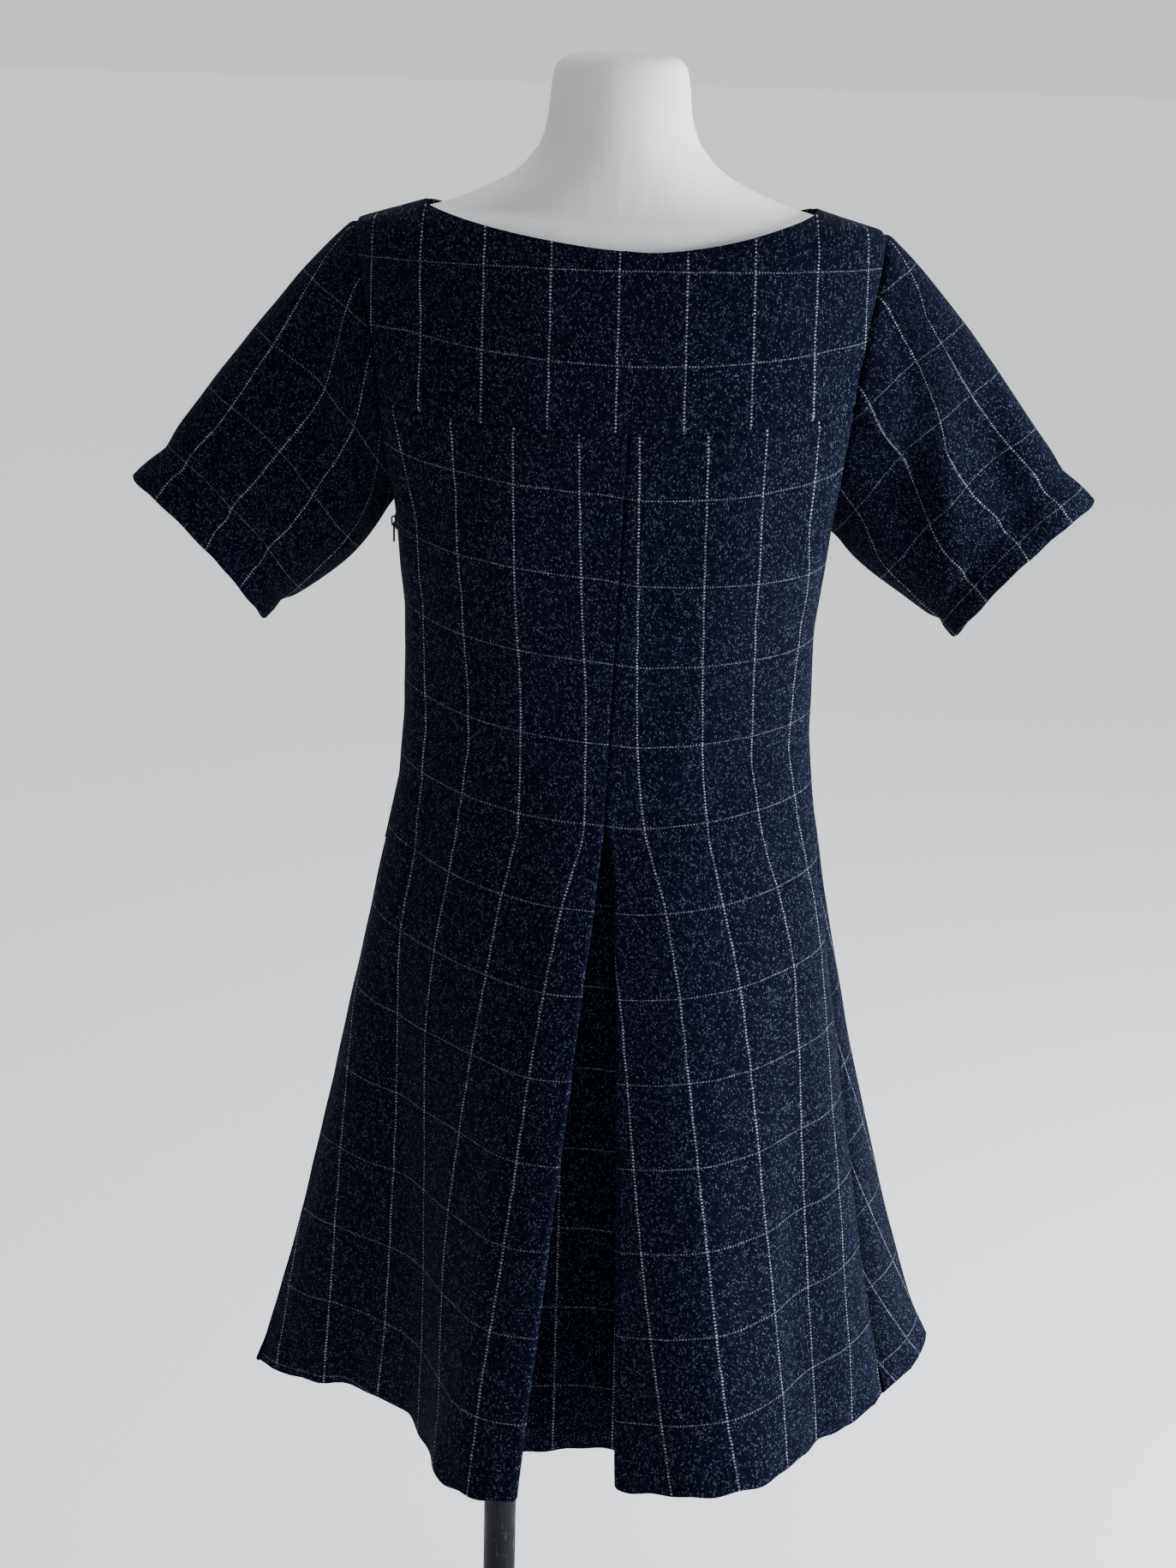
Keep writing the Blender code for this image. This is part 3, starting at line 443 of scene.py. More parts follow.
    def opened(self, height: float) -> float:
        """How far the pleat has opened, from 0 where its stitching ends to 1 at the hem."""
        return max(0.0, (self.pleat_opens - height) / (self.pleat_opens - self.hem))

    def pleat_line(self, height: float) -> float:
        """Where the two folded edges meet, across the back."""
        above = max(0.0, (height - self.pleat_opens) / (self.yoke_seam - self.pleat_opens))
        return -self.pleat_line_lean * above

    def fold_radius(self, height: float) -> float:
        """Radius of the pleat's folds: pressed flat at the top and rolling softly at the hem."""
        return self.fold_radius_top + (self.fold_radius_hem - self.fold_radius_top) * self.opened(height)

    def fold_edge(self, height: float, side: Side) -> float:
        """Where the folded edge of the flap on one side lies, across the back."""
        if side is Side.LEFT:
            swung = self.pleat_edge_left * self.opened(height)
            return self.pleat_line(height) + swung + self.fold_clearance
        swung = self.pleat_edge_right * self.opened(height) ** self.pleat_edge_right_power
        return self.pleat_line(height) - swung - self.fold_clearance

    def flap_top_row(self, height: float, shares: Array, side: Side, end: float) -> Array:
        """Plan points of a flap over the waist.

        Args:
            height: Above the floor.
            shares: 0 at the side edge to 1 at the fold.
            side: Which flap.
            end: Where the flap ends, across the back.

        Returns:
            Plan points.
        """
        edge = side.value * self.edge_width(height)
        across = edge + (end - edge) * shares
        return np.stack([across, self.depth_at(across, height, Face.BACK)], axis=1)

    def flap_row(self, height: float, shares: Array, side: Side) -> Array:
        """Plan points of a back flap, from the side edge to the end of the flap.

        Args:
            height: Above the floor.
            shares: 0 at the side edge to 1 at the fold.
            side: Which flap.

        Returns:
            Plan points.
        """
        end = self.fold_edge(height, side) + side.value * self.fold_radius(height)
        if height >= self.waist:
            return self.flap_top_row(height, shares, side, end)
        waist_end = self.fold_edge(self.waist, side) + side.value * self.fold_radius_top
        waist = self.flap_top_row(self.waist, shares, side, waist_end)
        lengths = travelled(waist)
        parts = lengths / lengths[-1]
        table = self.hem_back_left
        if side is Side.RIGHT:
            table = tuple((-across, back) for across, back in self.hem_back_right)
        points = waist + (along(spline(table), parts) - waist) * self.flare(height)
        towards_edge = np.clip((parts - 0.5) / 0.5, 0, 1)
        points[:, 0] += (end - points[-1, 0]) * towards_edge**2 * (3 - 2 * towards_edge)
        return points

    def front_row(self, height: float, shares: Array) -> Array:
        """Plan points of the front, from the right side edge to the left one.

        Args:
            height: Above the floor.
            shares: 0 at the right edge to 1 at the left one.

        Returns:
            Plan points.
        """
        at = max(height, self.waist)
        across = (2 * shares - 1) * self.edge_width(at)
        waist = np.stack([across, self.depth_at(across, at, Face.FRONT)], axis=1)
        if height >= self.waist:
            return waist
        lengths = travelled(waist)
        hem = along(spline(self.hem_front), lengths / lengths[-1])
        return waist + (hem - waist) * self.flare(height)

    def turn(self, centre: Array, travel: Array, inward: Array, sweep: float, radius: float) -> Array:
        """Points of a fold: the path leaves along travel and bends towards inward.

        Args:
            centre: Centre of the fold.
            travel: Plan direction of the path where the fold starts.
            inward: Plan direction that it bends to.
            sweep: Angle of the fold.
            radius: Radius of the fold.

        Returns:
            Plan points.
        """
        angles = sweep * np.arange(self.turn_points + 1) / self.turn_points
        return np.array([centre + radius * (math.sin(a) * travel - math.cos(a) * inward) for a in angles])

    def half_pleat(self, flap: Array, inner_centre: Array, underlay_travel: Array, radius: float) -> Array:
        """The folded edge, the layer that goes back under the flap, and the inner fold, for a left flap.

        Args:
            flap: The flap's plan points, which end at its folded edge.
            inner_centre: Centre of the inner fold.
            underlay_travel: Plan direction of the underlay after the inner fold.
            radius: Radius of both folds.

        Returns:
            Plan points after the flap's last one.
        """
        travel = flap[-1] - flap[-2]
        travel = travel / np.linalg.norm(travel)
        inward = turned(travel, math.pi / 2)
        edge_centre = flap[-1] + inward * radius
        between = inner_centre - edge_centre
        span = np.linalg.norm(between)
        back = turned(between / span, math.asin(min(1, 2 * radius / span)))
        sweep = math.atan2(back @ inward, back @ travel) % (2 * math.pi)
        edge = self.turn(edge_centre, travel, inward, sweep, radius)[1:]
        under = turned(back, -math.pi / 2)
        inner_sweep = math.atan2(underlay_travel @ under, underlay_travel @ back) % (2 * math.pi)
        inner = self.turn(inner_centre, back, under, inner_sweep, radius)
        steps = (np.arange(self.return_points) + 1)[:, None] / (self.return_points + 1)
        layer = edge[-1] + (inner[0] - edge[-1]) * steps
        return np.concatenate([edge, layer, inner])

    def inner_fold(self, height: float, side: Side) -> Array:
        """Centre of the inner fold of the pleat on one side."""
        at = max(height, self.pleat_opens)
        across = self.pleat_line(at) + side.value * self.pleat_depth
        closed = np.array([across, self.depth_at(across, at, Face.BACK) - 3 * self.fold_radius_top])
        hem = np.array(self.inner_fold_left if side is Side.LEFT else self.inner_fold_right)
        return closed + (hem - closed) * self.opened(height)

    def pleat_row(self, height: float, left: Array, right: Array) -> Array:
        """Plan points between the two flaps: fold, layer, inner fold, underlay, and the same back.

        Args:
            height: Above the floor.
            left: The left flap's plan points.
            right: The right flap's plan points.

        Returns:
            Plan points.
        """
        radius = self.fold_radius(height)
        mirror = np.array([-1, 1])
        centres = {side: self.inner_fold(height, side) for side in Side}
        travel = centres[Side.RIGHT] - centres[Side.LEFT]
        travel = travel / np.linalg.norm(travel)
        first = self.half_pleat(left, centres[Side.LEFT], travel, radius)
        second = self.half_pleat(right * mirror, centres[Side.RIGHT] * mirror, -travel * mirror, radius)
        second = second * mirror
        at = max(height, self.pleat_opens)
        middle, end = self.depth_at(np.array([0, self.pleat_depth]), at, Face.BACK)
        bulge = 0.7 * (middle - end) * (1 - self.opened(height)) - self.underlay_hollow * self.opened(height)
        steps = (np.arange(self.underlay_points) + 1) / (self.underlay_points + 1)
        underlay = first[-1] + (second[-1] - first[-1]) * steps[:, None]
        underlay[:, 1] += bulge * 4 * steps * (1 - steps)
        return np.concatenate([first, underlay, second[::-1]])

    def at_height(self, plan: Array, height: float) -> Array:
        """Plan points set at a height, the top rows following the curved yoke seam.

        Args:
            plan: Plan points.
            height: Above the floor.

        Returns:
            Points with x, y and z.
        """
        up = max(0.0, (height - self.armpit) / (self.yoke_seam - self.armpit))
        rise = self.yoke_seam_rise * up * (plan[:, 0] / self.armhole_width(self.yoke_seam)) ** 2
        return np.column_stack([plan, height + rise])

    def rising_columns(self, start: Array, fractions: Array, face: Face, shares: Array) -> Array:
        """Columns of a piece that runs up over the shoulder from its lowest row.

        Args:
            start: Points of the lowest row.
            fractions: Their places as fractions of the half width.
            face: Back or front.
            shares: Places up each column, 0 at its foot.

        Returns:
            A grid with its top row first.
        """
        low, curve = self.front_neck_low, 0.0
        if face is Face.BACK:
            low, curve = self.back_neck_low, self.back_neck_low_across
        half, shoulder = self.neck_half_width, self.shoulder_half_width
        grid = []
        for first, fraction in zip(start, fractions, strict=True):
            across = fraction * shoulder
            if abs(across) >= half - 1e-6:
                rest = (abs(across) - half) / (shoulder - half)
                top = self.neck_point + (self.shoulder_point - self.neck_point) * rest
            else:
                reach = abs((across - curve) / (math.copysign(half, across) - curve))
                top = low + (self.neck_point - low) * min(1, reach) ** self.neck_curve
            up = np.linspace(0, 1, 160)
            heights = first[2] + (top - first[2]) * (1 - (1 - up) ** 2)
            widths = fraction * self.armhole_width(heights)
            widths = widths + (first[0] - widths[0]) * (1 - up) ** 2
            depths = self.depth_at(widths, heights, face)
            if top > self.shoulder_point - 1e-6 and abs(across) >= half - 1e-6:
                depths[-1] = 0.0
            grid.append(along(np.stack([widths, depths, heights], axis=1), shares[::-1]))
        return np.array(grid).transpose(1, 0, 2)


def add_node(
    tree: bpy.types.NodeTree,
    kind: str,
    output: str | int,
    settings: dict[str, Any],
    sockets: dict[str | int, Any],
) -> "Wire":
    """Adds a shader node.

    Args:
        tree: The node tree that it joins.
        kind: The node's type, without ShaderNode.
        output: The output that is used, by name or number.
        settings: Its settings, set first.
        sockets: Wires or values of its inputs, by name or number.

    Returns:
        The output.
    """
    node = tree.nodes.new("ShaderNode" + kind)
    for name, value in settings.items():
        setattr(node, name, value)
    for name, value in sockets.items():
        socket = node.inputs[name]
        if isinstance(value, Wire):
            tree.links.new(value.socket, socket)
        else:
            socket.default_value = (*value, 1) if socket.type == "RGBA" else value
    return Wire(tree, node.outputs[output])


class Wire:
    """A shader socket that takes part in arithmetic; each expression adds its Math nodes."""

    def __init__(self, tree: bpy.types.NodeTree, socket: bpy.types.NodeSocket) -> None:
        """Wraps an output socket of a node tree."""
        self.tree = tree
        self.socket = socket

    def maths(self, operation: str, *operands: Any) -> "Wire":
        """Adds a Math node that starts from this socket, with wires or numbers after it."""
        return add_node(self.tree, "Math", 0, {"operation": operation}, dict(enumerate((self, *operands))))

    def __add__(self, other: Any) -> "Wire":
        """The sum."""
        return self.maths("ADD", other)

    __radd__ = __add__

    def __sub__(self, other: Any) -> "Wire":
        """The difference."""
        return self.maths("SUBTRACT", other)

    def __rsub__(self, other: float) -> "Wire":
        """A number less this."""
        return add_node(self.tree, "Math", 0, {"operation": "SUBTRACT"}, {0: other, 1: self})

    def __mul__(self, other: Any) -> "Wire":
        """The product."""
        return self.maths("MULTIPLY", other)

    __rmul__ = __mul__

    def __truediv__(self, other: Any) -> "Wire":
        """The quotient."""
        return self.maths("DIVIDE", other)

    def __lt__(self, other: Any) -> "Wire":
        """1 where this is less, else 0."""
        return self.maths("LESS_THAN", other)

    def floor(self) -> "Wire":
        """The whole number below."""
        return self.maths("FLOOR")

    def within(self, size: float) -> "Wire":
        """The rest after whole steps of a size."""
        return self.maths("FLOORED_MODULO", size)

    def least(self, other: Any) -> "Wire":
        """The smaller of this and another."""
        return self.maths("MINIMUM", other)

    def most(self, other: Any) -> "Wire":
        """The larger of this and another."""
        return self.maths("MAXIMUM", other)

    def between(self, low: float, high: float) -> "Wire":
        """0 below low, 1 above high, and a soft step between them."""
        sockets = {"Value": self, "From Min": low, "From Max": high}
        return add_node(self.tree, "MapRange", "Result", {"interpolation_type": "SMOOTHSTEP"}, sockets)

    def parts(self) -> "tuple[Wire, ...]":
        """The X, Y and Z of a vector."""
        first = add_node(self.tree, "SeparateXYZ", 0, {}, {0: self})
        return tuple(Wire(self.tree, out) for out in first.socket.node.outputs)


class Finish:
    """A procedural material under construction."""

    def __init__(self, name: str, roughness: float, specular: float) -> None:
        """Starts a material on one Principled shader."""
        self.material = bpy.data.materials.new(name)
        self.material.use_nodes = True
        self.tree = self.material.node_tree
        self.shader = self.tree.nodes["Principled BSDF"]
        self.shader.inputs["Roughness"].default_value = roughness
        self.shader.inputs["Specular IOR Level"].default_value = specular

    def place(self) -> Wire:
        """The piece's own coordinates."""
        return add_node(self.tree, "TexCoord", "Object", {}, {})

    def squeezed(self, place: Wire, upright: float) -> Wire:
        """Coordinates scaled upright: under 1 draws marks out in height, over 1 flattens them."""
        return add_node(self.tree, "Mapping", "Vector", {}, {"Vector": place, "Scale": (1.0, 1.0, upright)})

    def noise(self, vector: Wire, scale: float, detail: float = 2.0) -> Wire:
        """A noise from 0 to 1 over a vector.

        Args:
            vector: Where it is read.
            scale: Features for each unit.
            detail: Finer layers.

        Returns:
            The noise.
        """
        return add_node(self.tree, "TexNoise", "Fac", {}, {"Vector": vector, "Scale": scale, "Detail": detail})

    def blend(self, share: Any, first: Any, second: Any) -> Wire:
        """A colour between two colours, each a tuple or a wire, by a share of the second."""
        return add_node(self.tree, "Mix", 2, {"data_type": "RGBA"}, {0: share, 6: first, 7: second})

    def feed(self, name: str, wire: Wire) -> None:
        """Links a wire to a socket of the shader."""
        self.tree.links.new(wire.socket, self.shader.inputs[name])

    def bumped(self, height: Wire, distance: float, strength: float) -> None:
        """Feeds a height through a Bump node to the shader's normal."""
        sockets = {"Height": height, "Distance": distance, "Strength": strength}
        self.feed("Normal", add_node(self.tree, "Bump", "Normal", {}, sockets))


@dataclass(frozen=True)
class Tweed:
    """Navy-black wool in a plain weave of thick yarns, with pale slubs and a thin windowpane check."""

    name: str = "tweed"
    yarns_across: float = 43.0
    yarns_down: float = 51.0
    check_across: float = 0.0450
    check_down: float = 0.0619
    # Colour between the yarns: painted shade in the gaps, where the yarns shadow each other.
    gap_shade: tuple[float, float, float] = (0.0004, 0.0005, 0.0018)
    yarn: tuple[float, float, float] = (0.0018, 0.0026, 0.0105)
    fleck: tuple[float, float, float] = (0.088, 0.106, 0.160)
    line: tuple[float, float, float] = (0.310, 0.320, 0.370)
    fleck_share: float = 0.42
    weft_share: float = 0.35
    thick: float = 1.75
    weft_line_strength: float = 0.62
    roughness: float = 0.92
    specular: float = 0.03
    sheen: float = 0.015
    sheen_roughness: float = 0.45
    sheen_tint: tuple[float, float, float] = (0.42, 0.55, 0.80)
    warp_wander: Table = ((55.0, 1.0, 0.0016), (410.0, 0.0, 0.0006))
    weft_wander: Table = ((38.0, 1.0, 0.0016),)
    cluster_scale: float = 0.17
    cluster_swing: float = 0.9
    fleck_strength: tuple[float, float] = (0.10, 0.80)
    line_strength: tuple[float, float] = (0.22, 0.90)
    line_under: float = 0.06
    patch_scale: float = 21.0
    ground: tuple[float, float] = (0.55, 0.9)
    crown: tuple[float, float] = (3.9, 2.4)
    fleck_height: float = 0.3
    relief: float = 0.00030
    relief_strength: float = 0.7

    def material(self) -> bpy.types.Material:
        """The cloth's material, which reads the piece's own map in metres."""
        finish = Finish(self.name, self.roughness, self.specular)
        finish.shader.inputs["Sheen Weight"].default_value = self.sheen
        finish.shader.inputs["Sheen Roughness"].default_value = self.sheen_roughness
        finish.shader.inputs["Sheen Tint"].default_value = (*self.sheen_tint, 1)
        place = add_node(finish.tree, "UVMap", "UV", {"uv_map": "cloth"}, {})
        u, v, _ = place.parts()
        across = self.wandered(finish, place, u, self.warp_wander) * (self.yarns_across / self.check_across)
        across = self.thick_end(across)
        down = self.wandered(finish, place, v, self.weft_wander) * (self.yarns_down / self.check_down)
        end, pick = across.floor(), down.floor()
        warp_up = (end + pick).within(2.0) < 0.5
        bead = self.bead(across, down, warp_up)
        cell = add_node(finish.tree, "CombineXYZ", "Vector", {}, {"X": end + 0.5, "Y": pick + 0.5, "Z": 0.0})
        chance = self.random(cell, "2D")
        strength = self.random(cell, "3D")
        cluster = (finish.noise(cell, self.cluster_scale, 1.0) - 0.5) * self.cluster_swing
        limit = (cluster + self.fleck_share) * (self.weft_share + (1 - self.weft_share) * warp_up)
        low, more = self.fleck_strength
        fleck = (chance < limit) * (low + more * strength * strength * strength) * bead
        warp_line = end.within(self.yarns_across) < 0.5
        weft_line = (pick.within(self.yarns_down) < 0.5) * self.weft_line_strength
        on_line = weft_line + (warp_line - weft_line) * warp_up
        low, more = self.line_strength
        pale = on_line.most((warp_line + weft_line) * self.line_under) * (low + more * strength) * bead
        low, more = self.ground
        # Painted shade: the ground darkens from the yarn's colour on each crown to the gap's colour at the
        # yarn's edges and between the yarns. The flecks and pale lines fade the same way.
        ground = finish.blend(bead * (low + more * finish.noise(place, self.patch_scale)), self.gap_shade, self.yarn)
        flecked = finish.blend(fleck.least(1.0), ground, self.fleck)
        finish.feed("Base Color", finish.blend(pale.least(1.0), flecked, self.line))
        finish.bumped(bead + fleck * self.fleck_height, self.relief, self.relief_strength)
        return finish.material

    def wandered(self, finish: Finish, place: Wire, way: Wire, waves: Table) -> Wire:
        """Lets the yarns wander a little out of their straight course.

        Args:
            finish: The material that is built.
            place: The cloth's map.
            way: The part of the map that is moved.
            waves: Scale, detail and reach of each noise that moves it.

        Returns:
            The moved part.
        """
        for scale, detail, reach in waves:
            way = way + (finish.noise(place, scale, detail) - 0.5) * reach
        return way

    def random(self, cell: Wire, dimensions: str) -> Wire:
        """One number from 0 to 1 for each crossing of yarns, another one in 3D than in 2D."""
        settings = {"noise_dimensions": dimensions}
        return add_node(cell.tree, "TexWhiteNoise", "Value", settings, {"Vector": cell})

    def thick_end(self, across: Wire) -> Wire:
        """Widens the first yarn of each check, the pale one, and narrows the others to match.

        Args:
            across: Place in even yarns.

        Returns:
            Place in real yarns.
        """
        shifted = across + (self.thick - 1) / 2
        inside = shifted.within(self.yarns_across)
        others = (inside - self.thick).most(0.0)
        share = (self.yarns_across - 1) / (self.yarns_across - self.thick)
        return shifted - inside + inside.least(self.thick) / self.thick + others * share

    def bead(self, across: Wire, down: Wire, warp_up: Wire) -> Wire:
        """The rounded back of the yarn that lies on top, longer than it is wide.

        Args:
            across: Place in warp yarns.
            down: Place in weft yarns.
            warp_up: 1 where the warp lies on top.

        Returns:
            0 in the gaps to 1 on the crowns.
        """
        aside = (across.within(1.0) - 0.5).maths("ABSOLUTE")
        level = (down.within(1.0) - 0.5).maths("ABSOLUTE")
        wide = level + (aside - level) * warp_up
        long = aside + level - wide
        steep, gentle = self.crown
        return (1.0 - wide * wide * steep - long * long * gentle).most(0.0)


@dataclass(frozen=True)
class FormCover:
    """Matt off-white cover of the form, faintly wrinkled and soiled."""

    name: str = "off_white_cover"
    colour: tuple[float, float, float] = (0.70, 0.70, 0.70)
    soiled: tuple[float, float, float] = (0.53, 0.51, 0.48)

    def material(self) -> bpy.types.Material:
        """The cover's material."""
        finish = Finish(self.name, 0.62, 0.35)
        place = finish.place()
        blotch = finish.noise(place, 9.0, 4.0)
        speck = finish.noise(place, 260.0)
        wrinkle = finish.noise(finish.squeezed(place, 0.22), 60.0)
        scuff = blotch.between(0.52, 0.80) * 0.60 + speck.between(0.64, 0.78) * 0.30
        finish.feed("Base Color", finish.blend(scuff, self.colour, self.soiled))
        finish.feed("Roughness", 0.55 + 0.25 * blotch)
        finish.bumped(wrinkle * 0.7 + speck * 0.06, 0.0022, 0.45)
        return finish.material


@dataclass(frozen=True)
class Paint:
    """Paint or enamel on metal, with scuffs down to the grey."""

    name: str
    colour: tuple[float, float, float] = (0.008, 0.008, 0.010)
    bare: tuple[float, float, float] = (0.15, 0.15, 0.16)
    roughness: float = 0.42
    gloss: float = 0.12
    scuffs: float = 1.0
    size: float = 1.0

    def material(self) -> bpy.types.Material:
        """The paint's material."""
        finish = Finish(self.name, self.roughness, self.gloss)
        place = finish.place()
        tall, flat = finish.squeezed(place, 0.12), finish.squeezed(place, 3.5)
        long_marks = finish.noise(tall, 420.0 * self.size, 3.0).between(0.60, 0.72)
        rings = finish.noise(flat, 120.0 * self.size, 3.0).between(0.64, 0.74)
        wear = finish.noise(place, 22.0 * self.size, 3.0).between(0.40, 0.70)
        scuff = (long_marks * 0.55 + rings * 0.35) * wear * self.scuffs
        finish.feed("Base Color", finish.blend(scuff, self.colour, self.bare))
        finish.feed("Roughness", self.roughness + 0.28 * wear)
        grain = finish.noise(place, 700.0 * self.size)
        finish.bumped(grain * 0.5 + scuff * 0.6, 0.00012, 0.5)
        return finish.material


@dataclass(frozen=True)
class Tape:
    """Woven black zip tape and its nylon coil."""

    name: str = "zip_tape_weave"
    colour: tuple[float, float, float] = (0.006, 0.006, 0.009)
    worn: tuple[float, float, float] = (0.018, 0.018, 0.024)
    ribs: float = 2400.0

    def material(self) -> bpy.types.Material:
        """The tape's material."""
        finish = Finish(self.name, 0.8, 0.15)
        place = finish.place()
        _, y, z = place.parts()
        rib = ((z * self.ribs).maths("SINE") * (y * self.ribs).maths("SINE")) * 0.5 + 0.5
        finish.feed("Base Color", finish.blend(finish.noise(place, 500.0) * rib, self.colour, self.worn))
        finish.bumped(rib, 0.00012, 0.6)
        return finish.material


@dataclass(frozen=True)
class Crease:
    """A soft trough or ridge across a piece, between two points in the plane of x and z."""

    start: tuple[float, float]
    end: tuple[float, float]
    depth: float
    width: float

    def push(self, points: Array) -> Array:
        """How far it moves each point outwards; a trough is negative.

        Args:
            points: A grid of points.

        Returns:
            One distance for each point.
        """
        first, last = np.array(self.start), np.array(self.end)
        way = last - first
        length = np.linalg.norm(way)
        offset = points[..., [0, 2]] - first
        share = np.clip(offset @ way / length**2, 0, 1)
        aside = np.linalg.norm(offset - share[..., None] * way, axis=-1)
        fade = np.sin(math.pi * np.clip(share, 0.04, 0.96)) ** 0.7
        return -self.depth * fade * np.exp(-((aside / self.width) ** 2))


@dataclass(frozen=True)
class HemWave:
    """Two waves along a hem, which fade out above it."""

    reach: float
    lengths: tuple[float, float]
    starts: tuple[float, float]
    second: float

    def at(self, place: Array, above: Array) -> Array:
        """The waves' height at points of the cloth.

        Args:
            place: Places along the hem.
            above: How far the points lie above it.

        Returns:
            One height for each point.
        """
        waves = zip(self.lengths, self.starts, strict=True)
        first, other = (np.sin(2 * math.pi * place / length + start) for length, start in waves)
        return np.exp(-((above / self.reach) ** 2)) * (first + self.second * other)


@dataclass
class ClothPiece:
    """One cut piece of cloth: its middle surface, the map of its fabric, and its edges."""

    name: str
    grid: Array
    fabric: Array
    ring: bool = False
    seams: tuple[str, ...] = ()
    hem_rows: int = 0
    flat: tuple[float, float] = (1.0, 1.0)
    area: float = 1.0
    creases: list[Crease] = field(default_factory=list)
    wall: float = 0.0018
    seam_depth: float = 0.0016
    seam_width: float = 0.0017
    swell: float = 0.0005
    swell_place: float = 0.0060
    swell_width: float = 0.0042
    ripple: float = 0.00045
    hem_wave: float = 0.0013
    hem_rise: float = 0.000825
    in_and_out: HemWave = HemWave(0.028, (0.047, 0.083), (0.7, 2.0), 0.6)
    up_and_down: HemWave = HemWave(0.020, (0.031, 0.0524), (0.4, 1.1), 0.8)
    turn_gap: float = 0.0003

    def edge_distances(self) -> dict[str, Array]:
        """How far each point lies from each edge of the piece, over the cloth."""
        down, across = walked(self.grid, 0), walked(self.grid, 1)
        return {"top": down, "bottom": down[-1] - down, "first": across, "last": across[:, -1:] - across}

    def relief(self) -> Array:
        """How far each point of the middle surface is moved outwards by seams, creases and drape."""
        distances = self.edge_distances()
        push = np.zeros(self.grid.shape[:2])
        for edge in self.seams:
            away = distances[edge]
            push -= self.seam_depth * np.exp(-((away / self.seam_width) ** 2))
            push += self.swell * np.exp(-(((away - self.swell_place) / self.swell_width) ** 2))
        for crease in self.creases:
            push += crease.push(self.grid)
        x, y, z = np.moveaxis(self.grid, 2, 0)
        wave = np.sin(41 * x + 29 * z + 1.3) * np.sin(23 * z - 37 * x + 17 * y + 0.4)
        wave += 0.6 * np.sin(83 * x - 47 * z + 2.1) * np.sin(61 * z + 53 * y)
        push += self.ripple * wave
        if self.hem_rows:
            push += self.hem_wave * self.in_and_out.at(self.fabric[..., 0], distances["bottom"])
        return push

    def turned_up(self, grid: Array, normals: Array) -> tuple[Array, Array]:
        """Adds the hem allowance: the cloth turns inwards at its edge and runs back up inside.

        Args:
            grid: The middle surface.
            normals: Its outward normals.

        Returns:
            The longer grid and the longer map.
        """
        drop = self.wall + self.turn_gap
        radius = drop / 2
        down = grid[-1] - grid[-2]
        down /= np.linalg.norm(down, axis=-1, keepdims=True)
        rows, maps = [], []
        step = self.fabric[-1] - self.fabric[-2]
        step /= np.linalg.norm(step, axis=-1, keepdims=True)
        for angle in np.linspace(0, math.pi, 6)[1:]:
            inward = radius * (1 - math.cos(angle))
            rows.append(grid[-1] - normals[-1] * inward + down * radius * math.sin(angle))
            maps.append(self.fabric[-1] + step * radius * angle)
        for k in range(1, self.hem_rows):
            rows.append(grid[-1 - k] - normals[-1 - k] * drop)
            maps.append(2 * self.fabric[-1] - self.fabric[-1 - k])
        return np.concatenate([grid, rows]), np.concatenate([self.fabric, maps])

    def build(self, material: bpy.types.Material, node: str) -> bpy.types.Object:
        """Args:
            material: Its finish.
            node: The solid.

        Returns:
            The piece.
        """
        grid = self.grid + normals_of(self.grid, self.ring) * self.relief()[..., None]
        fabric = self.fabric
        if self.hem_rows:
            grid[..., 2] += self.hem_rise * self.up_and_down.at(fabric[..., 0], self.edge_distances()["bottom"])
            grid, fabric = self.turned_up(grid, normals_of(grid, self.ring))
        piece = linked(self.name, self.mesh(grid, fabric))
        shell = piece.modifiers.new("wall", "SOLIDIFY")
        shell.thickness = self.wall
        shell.offset = 0.0
        settled(piece, material, node)
        return piece

    def mesh(self, grid: Array, fabric: Array) -> bpy.types.Mesh:
        """The grid as a smooth mesh with the fabric's map.

        Args:
            grid: Rows of points.
            fabric: The map's places of those points, in metres.

        Returns:
            The mesh.
        """
        rows, columns = grid.shape[:2]
        last = columns if self.ring else columns - 1
        first = np.arange(rows - 1)[:, None] * columns
        left = np.arange(last)[None, :]
        right = (left + 1) % columns
        corners = np.stack([first + left, first + columns + left, first + columns + right, first + right], -1)
        mesh = bpy.data.meshes.new(self.name)
        mesh.from_pydata(grid.reshape(-1, 3).tolist(), [], corners.reshape(-1, 4).tolist())
        places = np.stack([fabric[:-1, :last], fabric[1:, :last]], 2)
        beyond = fabric
        if self.ring:
            beyond = np.concatenate([fabric, fabric[:, :1] + self.girth_step(fabric)], axis=1)
        others = np.stack([beyond[1:, 1 : last + 1], beyond[:-1, 1 : last + 1]], 2)
        places = np.concatenate([places, others], axis=2)
        layer = mesh.uv_layers.new(name="cloth")
        layer.data.foreach_set("uv", places.reshape(-1).astype(np.float32))
        mesh.polygons.foreach_set("use_smooth", [True] * len(mesh.polygons))
        mesh.update()
        return mesh

    def girth_step(self, fabric: Array) -> Array:
        """How far the map has run when a ring closes on its first column."""
        step = fabric[:, -1:] - fabric[:, -2:-1]
        return fabric[:, -1:] - fabric[:, :1] + step


